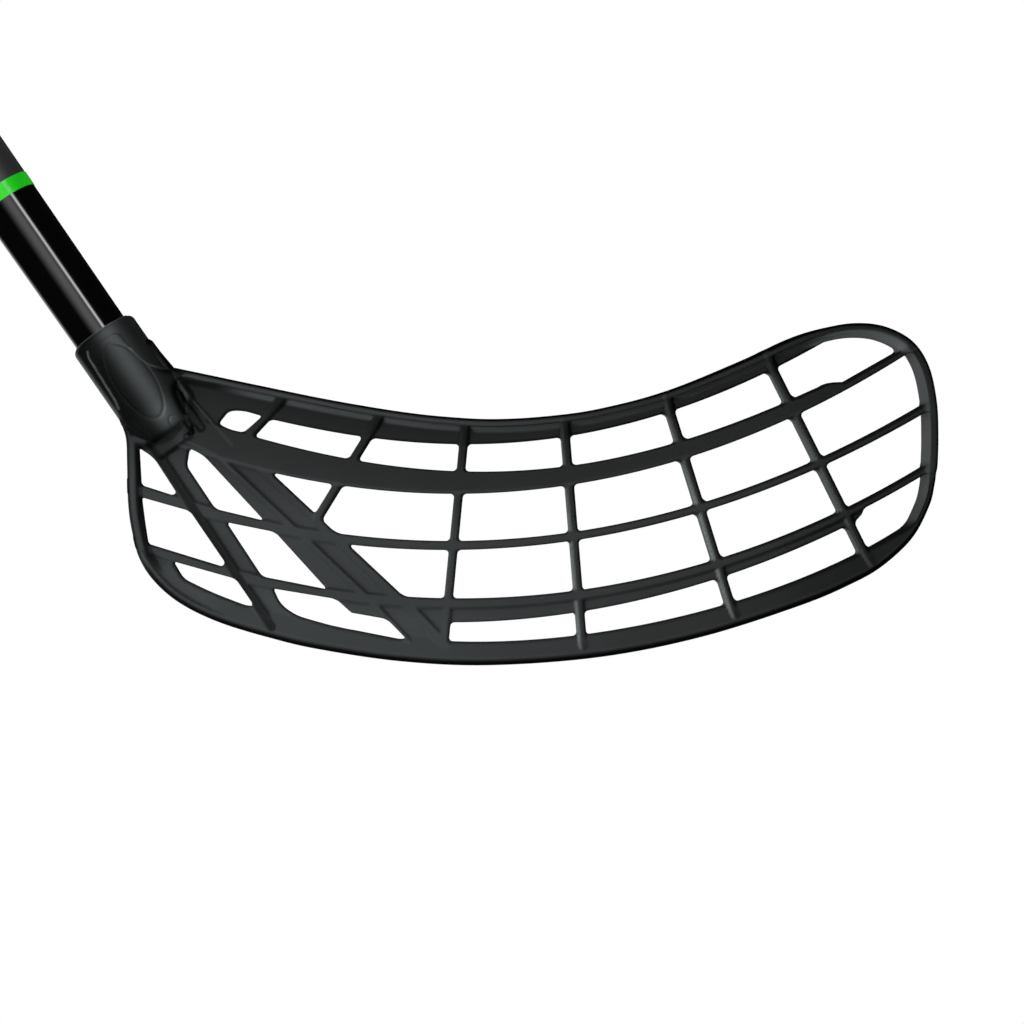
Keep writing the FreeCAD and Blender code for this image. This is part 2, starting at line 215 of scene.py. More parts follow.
def weld_points(mesh: bpy.types.Mesh, reach_mm: float) -> None:
    """Make one point of points that lie close together.

    Args:
        mesh: The mesh.
        reach_mm: Distance in millimetres below which points become one.
    """
    body = bmesh.new()
    body.from_mesh(mesh)
    bmesh.ops.remove_doubles(body, verts=body.verts, dist=reach_mm * MM)
    body.to_mesh(mesh)
    body.free()


def make_piece(name: str, points_mm: Array, faces: Array, weld: bool = False) -> bpy.types.Object:
    """Put points and faces into a smooth mesh object at the origin.

    Args:
        name: Name of the piece.
        points_mm: Points in millimetres, one per row.
        faces: Quads as corner numbers.
        weld: Whether points that coincide, as at poles, become one, and sharp corners stay sharp.

    Returns:
        The new object, linked to the scene.
    """
    mesh = bpy.data.meshes.new(name)
    mesh.from_pydata((points_mm * MM).tolist(), [], faces.tolist())
    if weld:
        weld_points(mesh, WELD_MM)
    mesh.polygons.foreach_set("use_smooth", np.ones(len(mesh.polygons), dtype=bool))
    if weld:
        mesh.set_sharp_from_angle(angle=SHARP_ANGLE)
    mesh.update()
    piece = bpy.data.objects.new(name, mesh)
    bpy.context.scene.collection.objects.link(piece)
    return piece


class Plate:
    """Plate over a flat pattern: the grid cells whose middle is solid, their edge drawn to the outline."""

    def __init__(self, u: Array, w: Array, gap: Callable[[Array, Array], Array], step: float) -> None:
        """Cut the plate from a grid, even out the points inside it and close up short edges.

        Args:
            u: First coordinates of the grid points.
            w: Second coordinates of the grid points.
            gap: Signed distance inside the solid.
            step: The grid's step.
        """
        u, w = u.copy(), w.copy()
        kept = gap(self.middles(u), self.middles(w)) > 0.0
        padded = np.pad(kept, 1).astype(int)
        touching = padded[:-1, :-1] + padded[1:, :-1] + padded[:-1, 1:] + padded[1:, 1:]
        edge = (touching > 0) & (touching < 4)
        u[edge], w[edge] = self.drawn(u[edge], w[edge], gap, step)
        inner = (touching == 4)[1:-1, 1:-1]
        for _ in range(EVEN_ROUNDS):
            for values in (u, w):
                mean = (values[:-2, 1:-1] + values[2:, 1:-1] + values[1:-1, :-2] + values[1:-1, 2:]) / 4
                values[1:-1, 1:-1][inner] = mean[inner]
        cells = np.argwhere(kept)
        corners = np.stack([cells, cells + (1, 0), cells + (1, 1), cells + (0, 1)], axis=1)
        used, quads = np.unique(corners[..., 0] * u.shape[1] + corners[..., 1], return_inverse=True)
        self.u, self.w = u.ravel()[used], w.ravel()[used]
        self.quads = quads.reshape(-1, 4)
        starts = self.quads.ravel().astype(np.int64)
        ends = np.roll(self.quads, -1, axis=1).ravel().astype(np.int64)
        lone = ~np.isin(starts * len(used) + ends, ends * len(used) + starts)
        self.starts, self.ends = starts[lone], ends[lone]
        for _ in range(SHORT_ROUNDS):
            reach = np.hypot(self.u[self.starts] - self.u[self.ends], self.w[self.starts] - self.w[self.ends])
            short = reach < SHORT_SHARE * step
            for values in (self.u, self.w):
                values[self.starts[short]] = values[self.ends[short]]
        self.edge, local = np.unique(np.concatenate([self.starts, self.ends]), return_inverse=True)
        self.local = local.reshape(2, -1)

    @staticmethod
    def middles(values: Array) -> Array:
        """Mean of each cell's four corners."""
        return (values[:-1, :-1] + values[1:, :-1] + values[:-1, 1:] + values[1:, 1:]) / 4

    @staticmethod
    def drawn(u: Array, w: Array, gap: Callable[[Array, Array], Array], step: float) -> tuple[Array, Array]:
        """Points moved along the gap's slope until the gap is nil; a step is the gap over the slope squared.

        Args:
            u: First coordinates of the points.
            w: Second coordinates of the points.
            gap: Signed distance inside the solid.
            step: The grid's step, of which a point moves at most half at a time.

        Returns:
            The moved coordinates.
        """
        probe = step / PROBE_PARTS
        for _ in range(DRAW_ROUNDS):
            slope_u = (gap(u + probe, w) - gap(u - probe, w)) / (2 * probe)
            slope_w = (gap(u, w + probe) - gap(u, w - probe)) / (2 * probe)
            steepness = np.maximum(slope_u**2 + slope_w**2, LEAST_SLOPE_SQUARED)
            move = np.clip(gap(u, w) / steepness, -step / 2, step / 2)
            u, w = u - move * slope_u, w - move * slope_w
        return u, w

    def closed(self, name: str, front: Array, rear: Array, shares: Sequence[float] = ()) -> bpy.types.Object:
        """Join two faces by walls.

        Args:
            name: Name of the piece.
            front: Points of the front face.
            rear: Points of the rear face.
            shares: Where the walls have further rings, from 0 at the front to 1 at the rear.

        Returns:
            The new object.
        """
        count = len(self.u)
        rings = [front[self.edge] + (rear[self.edge] - front[self.edge]) * share for share in shares]
        first = [2 * count + k * len(self.edge) for k in range(len(rings))]
        left = [self.starts, *(number + self.local[0] for number in first), self.starts + count]
        right = [self.ends, *(number + self.local[1] for number in first), self.ends + count]
        walls = [
            np.stack([right[k], left[k], left[k + 1], right[k + 1]], axis=1)
            for k in range(len(left) - 1)
        ]
        faces = np.vstack([self.quads, self.quads[:, ::-1] + count, *walls])
        return make_piece(name, np.vstack([front, rear, *rings]), faces)


def keep_values(piece: bpy.types.Object, name: str, values: Array) -> None:
    """Store one number per point of a piece, for its material to read."""
    layer = piece.data.attributes.new(name, "FLOAT", "POINT")
    layer.data.foreach_set("value", np.ascontiguousarray(values, dtype=np.float32))


def settle(piece: bpy.types.Object, finish: "Finish", nodes: Sequence[str]) -> bpy.types.Object:
    """Dress a piece and tie it to the frame.

    Args:
        piece: The finished mesh object.
        finish: What it is dressed in.
        nodes: The frame's nodes that it stands for.

    Returns:
        The same object.
    """
    piece.data.materials.append(finish.material())
    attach(piece, BODY)
    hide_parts(*nodes)
    LOG.info("%s: %d points, %d faces", piece.name, len(piece.data.vertices), len(piece.data.polygons))
    return piece


# Where things lie

@dataclass(frozen=True)
class StickAxis:
    """The shaft's axis: distances run from the centre of the butt end, in millimetres."""

    lie_angle: float = 55.2
    shaft_length: float = 960.0
    socket_depth: float = 38.0

    @property
    def down(self) -> Array:
        """Unit vector from the butt end to the blade."""
        lie = math.radians(self.lie_angle)
        return np.array([math.cos(lie), 0.0, -math.sin(lie)])

    @property
    def right(self) -> Array:
        """Unit vector across the axis, to the right in the picture."""
        lie = math.radians(self.lie_angle)
        return np.array([math.sin(lie), 0.0, math.cos(lie)])

    @property
    def socket_start(self) -> float:
        """Distance of the socket's mouth from the butt end."""
        return self.shaft_length - self.socket_depth

    def ring(self, distance: Array, radius: Array, angle: Array) -> Array:
        """Points round the axis: angle 0 faces the camera and a quarter turn is to the right.

        Args:
            distance: Distance from the butt end.
            radius: Distance from the axis.
            angle: Angle round the axis, in radians.

        Returns:
            Points in millimetres, with the coordinates last.
        """
        front = np.array([0.0, -1.0, 0.0])
        spread = np.cos(angle)[..., None] * front + np.sin(angle)[..., None] * self.right
        return distance[..., None] * self.down + radius[..., None] * spread

    def turned(self, name: str, distance: Array, radius: Array, sides: int) -> bpy.types.Object:
        """Surface of revolution: a profile of distance and radius carried round the axis.

        Args:
            name: Name of the piece.
            distance: Profile distances; the profile starts and ends on the axis or closes on itself.
            radius: Profile radii.
            sides: Points round the axis.

        Returns:
            The new object.
        """
        d, a = np.meshgrid(distance, full_turn(sides), indexing="ij")
        r = np.broadcast_to(radius[:, None], d.shape)
        faces = grid_faces(len(distance), sides, True)[:, ::-1]
        return make_piece(name, self.ring(d, r, a).reshape(-1, 3), faces, weld=True)


@dataclass(frozen=True)
class PhotoView:
    """The photograph's level camera, which looks along +Y, and the way its pixels fall on the object."""

    centre_pixel: float = 512.0
    pixel_mm: float = 0.32
    distance: float = 928.0
    centre_from_corner: tuple[float, float] = (125.44, 48.96)
    sensor_mm: float = 36.0

    @property
    def lens_mm(self) -> float:
        """Focal length that gives the pixel's size at the shaft."""
        return self.sensor_mm * self.distance / (2 * self.centre_pixel * self.pixel_mm)

    def offsets(self, pixels: Points) -> Array:
        """Right and up from the picture's centre, in millimetres at the shaft's plane."""
        return (np.asarray(pixels, float) - self.centre_pixel) * (self.pixel_mm, -self.pixel_mm)


@dataclass(frozen=True)
class BladePattern:
    """Flat pattern of the blade, and the bend on which it is carried.

    The corner is where heel and sole would meet.
    """

    axis: StickAxis
    view: PhotoView
    mouth_from_corner: tuple[float, float] = (-5.20, 104.80)
    bend_start: float = 99.3
    bend_radius: float = 650.0
    photo_front: float = 3.5

    @property
    def corner(self) -> Array:
        """Heel corner of the pattern in the row frame."""
        mouth = self.axis.down * self.axis.socket_start
        return mouth - np.array([self.mouth_from_corner[0], 0.0, self.mouth_from_corner[1]])

    def turn(self, u: Array) -> Array:
        """Angle that the blade has bent through at a distance from the heel."""
        return np.maximum(u - self.bend_start, 0.0) / self.bend_radius

    def carried(self, u: Array, w: Array, proud: Array) -> Array:
        """Points of the pattern on the bend: radius times sine along, radius less its cosine away.

        Args:
            u: Developed distance from the heel.
            w: Height above the corner.
            proud: Height out of the middle surface, towards the camera.

        Returns:
            Points in millimetres.
        """
        turn = self.turn(u)
        radius = self.bend_radius + proud
        x = np.minimum(u, self.bend_start) + radius * np.sin(turn)
        y = self.bend_radius - radius * np.cos(turn)
        return np.stack([x, y, w], axis=-1) + self.corner

    def from_photo(self, pixels: Points, front: Optional[float] = None) -> Array:
        """Pattern points under pixels of the photograph.

        Args:
            pixels: Pixel coordinates.
            front: How far the seen edge stands in front of the middle surface; the lattice's own by default.

        Returns:
            Distance from the heel and height, one row per pixel.
        """
        front = self.photo_front if front is None else front
        radius = self.bend_radius + front
        flat = self.view.offsets(pixels)
        start = self.bend_start - self.view.centre_from_corner[0]
        scale = np.ones(len(flat))
        for _ in range(SIGHT_ROUNDS):
            turn = np.arcsin(np.maximum(flat[:, 0] * scale - start, 0.0) / radius)
            scale = 1.0 + (self.bend_radius - radius * np.cos(turn)) / self.view.distance
        along = np.minimum(flat[:, 0] * scale, start) + self.bend_radius * turn
        return np.stack([along, flat[:, 1] * scale], axis=1) + self.view.centre_from_corner


# Finishes

class Grain(Enum):
    """Named scales of surface detail, as noise frequency per metre."""

    SPARK = 2600.0
    LEATHER = 900.0
    FLOW = 45.0


def noise_group(name: str) -> bpy.types.NodeTree:
    """Node group that gives a moulded skin: slow changes of tone, and a fine grain for roughness and bump.

    Args:
        name: Name of the group.

    Returns:
        The group, made once and found again later.
    """
    if name in bpy.data.node_groups:
        return bpy.data.node_groups[name]
    group = bpy.data.node_groups.new(name, "ShaderNodeTree")
    for label, scale in (("Fine Scale", Grain.SPARK), ("Slow Scale", Grain.FLOW)):
        socket = group.interface.new_socket(label, in_out="INPUT", socket_type="NodeSocketFloat")
        socket.default_value = scale.value
    for label in ("Tone", "Grain"):
        group.interface.new_socket(label, in_out="OUTPUT", socket_type="NodeSocketFloat")
    nodes, links = group.nodes, group.links
    entry = nodes.new("NodeGroupInput")
    leave = nodes.new("NodeGroupOutput")
    place = nodes.new("ShaderNodeTexCoord")
    for scale, output, detail in (("Slow Scale", "Tone", 3.0), ("Fine Scale", "Grain", 2.0)):
        noise = nodes.new("ShaderNodeTexNoise")
        noise.inputs["Detail"].default_value = detail
        links.new(place.outputs["Object"], noise.inputs["Vector"])
        links.new(entry.outputs[scale], noise.inputs["Scale"])
        links.new(noise.outputs["Fac"], leave.inputs[output])
    return group


@dataclass(frozen=True)
class Finish:
    """Surface finish of a piece: two tones, a roughness range and a grain, and what may be added to them."""

    name: str
    dark: tuple[float, float, float]
    light: tuple[float, float, float]
    rough: tuple[float, float]
    grain: float = Grain.SPARK.value
    flow: float = Grain.FLOW.value
    bump: float = 0.02
    bump_mm: float = 0.05
    metal: float = 0.0
    specular: float = 0.5
    coat: float = 0.0
    coat_rough: float = 0.05
    # shade names a stored attribute of painted light and shade that multiplies the base colour; glow is
    # painted light, the colour emitted as if lit.
    shade: str = ""
    glow: float = 0.0

    def material(self) -> bpy.types.Material:
        """Material with the skin group driving colour, roughness and bump.

        Returns:
            The material, made once and found again later.
        """
        if self.name in bpy.data.materials:
            return bpy.data.materials[self.name]
        material = bpy.data.materials.new(self.name)
        material.use_nodes = True
        tree = material.node_tree
        shader = tree.nodes["Principled BSDF"]
        labels = ("Metallic", "Specular IOR Level", "Coat Weight", "Coat Roughness")
        for label, value in zip(labels, (self.metal, self.specular, self.coat, self.coat_rough)):
            shader.inputs[label].default_value = value
        skin = tree.nodes.new("ShaderNodeGroup")
        skin.node_tree = noise_group("moulded_skin")
        skin.inputs["Fine Scale"].default_value = self.grain
        skin.inputs["Slow Scale"].default_value = self.flow
        tone = tree.nodes.new("ShaderNodeMix")
        tone.data_type = "RGBA"
        tone.inputs["A"].default_value = (*self.dark, 1.0)
        tone.inputs["B"].default_value = (*self.light, 1.0)
        tree.links.new(skin.outputs["Tone"], tone.inputs["Factor"])
        colour = tone.outputs["Result"]
        # Painted light and shade: the stored attribute multiplies the base colour.
        if self.shade:
            painted_light_tone = tree.nodes.new("ShaderNodeAttribute")
            painted_light_tone.attribute_name = self.shade
            shaded = tree.nodes.new("ShaderNodeMix")
            shaded.data_type = "RGBA"
            shaded.blend_type = "MULTIPLY"
            shaded.inputs["Factor"].default_value = 1.0
            tree.links.new(colour, shaded.inputs["A"])
            tree.links.new(painted_light_tone.outputs["Fac"], shaded.inputs["B"])
            colour = shaded.outputs["Result"]
        tree.links.new(colour, shader.inputs["Base Color"])
        # Painted glow: the colour is also emitted, so the shaded side looks lit.
        if self.glow:
            tree.links.new(colour, shader.inputs["Emission Color"])
            shader.inputs["Emission Strength"].default_value = self.glow
        rough = tree.nodes.new("ShaderNodeMapRange")
        rough.inputs["To Min"].default_value = self.rough[0]
        rough.inputs["To Max"].default_value = self.rough[1]
        tree.links.new(skin.outputs["Grain"], rough.inputs["Value"])
        tree.links.new(rough.outputs["Result"], shader.inputs["Roughness"])
        bump = tree.nodes.new("ShaderNodeBump")
        bump.inputs["Strength"].default_value = self.bump
        bump.inputs["Distance"].default_value = self.bump_mm * MM
        tree.links.new(skin.outputs["Grain"], bump.inputs["Height"])
        tree.links.new(bump.outputs["Normal"], shader.inputs["Normal"])
        return material


# Attribute of painted light and shade, a multiplier of the blade's base colour.
SHADE = "painted_light_and_shade"
BLADE_PLASTIC = Finish(
    "dressed_blade", (0.0143, 0.016, 0.016), (0.0193, 0.021, 0.0218), (0.38, 0.48),
    specular=0.12, bump=0.08, shade=SHADE,
)
SHAFT_LACQUER = Finish(
    "dressed_shaft", (0.0006, 0.0006, 0.0006), (0.001, 0.001, 0.001), (0.09, 0.12),
    specular=1.0, bump=0.0,
)
SHAFT_SATIN = Finish(
    "dressed_shaft_satin", (0.034, 0.033, 0.036), (0.042, 0.041, 0.044), (0.42, 0.52),
    bump=0.05,
)
# The band's glow is painted light: its own colour emitted, which brightens its shaded side.
BAND_FILM = Finish(
    "dressed_band", (0.010, 0.42, 0.009), (0.012, 0.45, 0.011), (0.22, 0.30),
    bump=0.0, glow=0.45,
)
GRIP_TAPE = Finish(
    "dressed_grip", (0.016, 0.016, 0.017), (0.026, 0.026, 0.027), (0.62, 0.78),
    grain=Grain.LEATHER.value, bump=0.6, bump_mm=0.2,
)
FINISHING_TAPE = Finish("dressed_tape", (0.010, 0.010, 0.011), (0.014, 0.014, 0.015), (0.30, 0.40))
CAP_PLASTIC = Finish("dressed_cap", (0.014, 0.014, 0.015), (0.020, 0.020, 0.021), (0.45, 0.60), bump=0.2)
SCREW_STEEL = Finish("dressed_screw", (0.30, 0.30, 0.31), (0.42, 0.42, 0.43), (0.25, 0.40), metal=1.0)


# Blade

class RailEdge:
    """Edge of a rail: its height is a curve of the fourth degree, or of less for few points."""

    def __init__(self, points: Array) -> None:
        """Fit the curve.

        Args:
            points: Distances from the heel and heights, one row per point.
        """
        degree = min(RAIL_DEGREE, len(points) - 2)
        self.curve = np.polynomial.Polynomial.fit(points[:, 0], points[:, 1], degree)
        self.slope = self.curve.deriv()

    def height(self, u: Array) -> Array:
        """Height over a distance, carried on straight beyond the fitted points."""
        held = np.clip(u, *self.curve.domain)
        return self.curve(held) + self.slope(held) * (u - held)

    def above(self, u: Array, w: Array) -> Array:
        """Signed distance above the edge: height over the curve times the cosine of its slope."""
        return (w - self.curve(u)) / np.sqrt(1.0 + np.square(self.slope(u)))


@dataclass(frozen=True)
class SocketShape:
    """The socket's tube on the blade's heel: a bore for the shaft, a rounded mouth and a closed, rounded end.

    A span says where an effect starts and ends, in millimetres unless its name says share.
    """

    pattern: BladePattern
    radius: float = 10.95
    bore: float = 9.2
    bore_depth: float = 29.0
    bore_lead: float = 0.3
    mouth_lip: float = 0.35
    mouth_lift: float = 1.6
    mouth_round: float = 2.2
    nose_start: float = 27.0
    nose_length: float = 13.0
    nose_power: float = 2.4
    foot_height: float = 5.4
    foot_rise: Span = (20.0, 26.0)
    foot_end: Span = (41.8, 43.8)
    foot_side: Span = (6.0, 8.5)
    foot_shift: float = 0.6
    right_mouth: float = 1.05
    right_share: float = 0.84
    right_run: Span = (20.0, 38.0)
    line_height: float = 0.3
    line_side: Span = (0.15, 0.6)
    line_sink: float = 3.0
    line_pixels: Points = ((88, 352), (89, 358), (103.6, 382), (115, 400.6), (118.5, 409))
    screw_places: tuple[float, float] = (11.0, 26.0)
    seat_radius: float = 3.5
    seat_groove: float = 0.4
    seat_side: Span = (0.1, 0.45)
    skin_share: Span = (0.5, 1.0)
    mouth_points: int = 9
    nose_points: int = 24
    rows: int = 150
    sides: int = 208

    # Painted light and shade on the tube's front: a highlight bell, a dark left side, a lit then darker nose,
    # and a lit foot, flank, line and mouth.
    sheen_low: float = 0.2
    sheen_top: float = 4.0
    sheen_middle: float = 3.4
    sheen_half: float = 3.6
    sheen_right: float = 0.9
    sheen_side: Span = (2.0, 8.0)
    nose_gain: float = 0.6
    nose_light: Span = (26.0, 32.0)
    nose_loss: float = 0.85
    nose_dark: Span = (35.0, 37.5)
    foot_tone: float = 0.8
    foot_light: Span = (37.0, 39.0)
    foot_light_side: Span = (2.0, 5.0)
    flank_gain: float = 5.0
    flank_side: Span = (-11.2, -8.8)
    flank_fade: float = 4.0
    line_gain: float = 3.0
    line_light: Span = (0.15, 0.5)
    mouth_gain: float = 2.4
    mouth_light: Span = (-1.55, -1.1)
    front_turn: Span = (-1.0, 1.0)

    def flat_place(self, u: Array, w: Array) -> tuple[Array, Array]:
        """Place on the tube of points of the pattern.

        Args:
            u: Distances from the heel.
            w: Heights.

        Returns:
            Distances along the tube from its mouth, and across it to the right.
        """
        mouth_u, mouth_w = self.pattern.mouth_from_corner
        down, right = self.pattern.axis.down[[0, 2]], self.pattern.axis.right[[0, 2]]
        du, dw = u - mouth_u, w - mouth_w
        return du * down[0] + dw * down[1], du * right[0] + dw * right[1]

    def pattern_place(self, places: Points) -> Array:
        """Points of the pattern under places on the tube.

        Args:
            places: Distances along the tube and across it.

        Returns:
            Distances from the heel and heights, one row per place.
        """
        along, across = np.asarray(places, float).T[:, :, None]
        down, right = self.pattern.axis.down[[0, 2]], self.pattern.axis.right[[0, 2]]
        return along * down + across * right + self.pattern.mouth_from_corner

    def seen_place(self, pixels: Points, front: float) -> Array:
        """Distances along and across the tube of pixels that show points at a height in front of its axis."""
        flat = self.pattern.from_photo(pixels, front)
        return np.stack(self.flat_place(flat[:, 0], flat[:, 1]), axis=1)

    def narrowed(self, along: Array) -> Array:
        """Share of the radius that the right flank reaches: a little over 1 at the mouth, less at the end."""
        return self.right_mouth + (self.right_share - self.right_mouth) * smooth(*self.right_run, along)

    def dome(self, along: Array, across: Array, radius: float) -> Array:
        """Height of a cylinder with a blunt end.

        It is the root of the radius squared times 1 less a power of the way past, less across squared.

        Args:
            along: Distances from the mouth.
            across: Distances to the right of the axis.
            radius: The cylinder's radius.

        Returns:
            Heights in front of the axis, nil outside.
        """
        wide = np.where(across > 0.0, across / self.narrowed(along), across)
        past = np.clip((along - self.nose_start) / self.nose_length, 0.0, 1.0)
        return np.sqrt(np.maximum(radius**2 * (1.0 - past**self.nose_power) - np.square(wide), 0.0))

    def foot(self, along: Array, across: Array) -> Array:
        """Height of the low foot that runs on from the tube's end, falling off at its sides and its end."""
        ends = smooth(*self.foot_rise, along) * fall(self.foot_end, along)
        return self.foot_height * ends * fall(self.foot_side, np.abs(across + self.foot_shift))

    def line_places(self) -> Array:
        """Places along and across the tube of the raised line on the left flank."""
        return self.seen_place(self.line_pixels, self.radius - self.line_sink)

    def proud(self, along: Array, across: Array, front: Array) -> Array:
        """Raised line on the front's left flank, and sunk rings round the screws on the back.

        Args:
            along: Distances from the mouth.
            across: Distances to the right of the axis.
            front: 1 on the front, -1 on the back.

        Returns:
            Heights above the plain tube.
        """
        line = line_distance(self.line_places(), along, across)
        height = self.line_height * fall(self.line_side, line) * np.maximum(front, 0.0)
        for place in self.screw_places:
            ring = np.abs(np.hypot(along - place, across) - self.seat_radius)
            height = height - self.seat_groove * fall(self.seat_side, ring) * np.maximum(-front, 0.0)
        return height

    def profile(self) -> tuple[Array, Array, int]:
        """Profile from the bore's floor, up the bore, over the mouth and down the outside to the end.

        Returns:
            Distances, radii, and how many of the points lie in the bore.
        """
        turn = np.linspace(0.0, math.pi / 2, self.mouth_points)
        tip = np.linspace(0.0, math.pi / 2, self.nose_points)[1:]
        top = -self.mouth_lift
        down = np.linspace(top + self.mouth_round, self.nose_start, self.rows)[1:]
        lip = self.radius - self.mouth_round + self.mouth_round * np.sin(turn)
        along = [
            [self.bore_depth, self.bore_depth, top + self.bore_lead, top],
            top + self.mouth_round * (1.0 - np.cos(turn)),
            down,
            self.nose_start + self.nose_length * np.sin(tip) ** (2.0 / self.nose_power),
        ]
        radius = [
            [0.0, self.bore, self.bore, self.bore + self.bore_lead],
            np.maximum(lip, self.bore + self.mouth_lip),
            np.full(len(down), self.radius),
            self.radius * np.cos(tip),
        ]
        return np.concatenate(along), np.concatenate(radius), len(along[0])

    def painted_sheen(self, along: Array, across: Array, front: Array) -> Array:
        """Painted light and shade on the tube's front: a bell right of the middle, dark left of it, lit
        flank, line and mouth.

        Args:
            along: Distances from the mouth.
            across: Distances to the right of the axis.
            front: Heights in front of the axis; behind it the tone is plain.

        Returns:
            Multipliers of the base colour.
        """
        bell = np.exp(-np.square((across - self.sheen_middle) / self.sheen_half))
        low = self.sheen_low + (self.sheen_right - self.sheen_low) * smooth(*self.sheen_side, across)
        nose = 1.0 + self.nose_gain * smooth(*self.nose_light, along)
        nose = nose * (1.0 - self.nose_loss * smooth(*self.nose_dark, along))
        foot = self.foot_tone * smooth(*self.foot_light, along) * fall(self.foot_light_side, across)
        tone = (low + (self.sheen_top - low) * bell) * nose + foot
        line = self.line_places()
        end = line[-1, 0]
        flank = fall(self.flank_side, across) * fall((end, end + self.flank_fade), along)
        tone = tone + self.flank_gain * flank
        tone = tone + self.line_gain * fall(self.line_light, line_distance(line, along, across))
        tone = tone + self.mouth_gain * fall(self.mouth_light, along)
        return 1.0 + (tone - 1.0) * smooth(*self.front_turn, front)

    def build(self) -> bpy.types.Object:
        """Tube with its line and screw rings: the profile carried round the axis, its right flank drawn in.

        Returns:
            The socket piece.
        """
        axis = self.pattern.axis
        along, radius, bore_points = self.profile()
        s, a = np.meshgrid(along, full_turn(self.sides), indexing="ij")
        r = np.repeat(radius[:, None], self.sides, axis=1)
        outside = np.arange(len(along))[:, None] >= bore_points
        proud = self.proud(s, r * np.sin(a), np.sign(np.cos(a)))
        r = r + proud * outside * smooth(*self.skin_share, r / self.radius)
        narrow = np.where((np.sin(a) > 0.0) & outside, self.narrowed(s), 1.0)
        squeezed = np.hypot(r * np.cos(a), r * np.sin(a) * narrow)
        turned = np.arctan2(np.sin(a) * narrow, np.cos(a))
        points = axis.ring(axis.socket_start + s, squeezed, turned).reshape(-1, 3)
        piece = make_piece("blade_socket", points, grid_faces(len(along), self.sides, True), weld=True)
        places = np.empty(3 * len(piece.data.vertices))
        piece.data.vertices.foreach_get("co", places)
        places = places.reshape(-1, 3) / MM
        along, across = places @ axis.down - axis.socket_start, places @ axis.right
        # Painted light and shade on the tube's front, kept for the material.
        keep_values(piece, SHADE, self.painted_sheen(along, across, -places[:, 1]))
        return settle(piece, BLADE_PLASTIC, ["blade"])


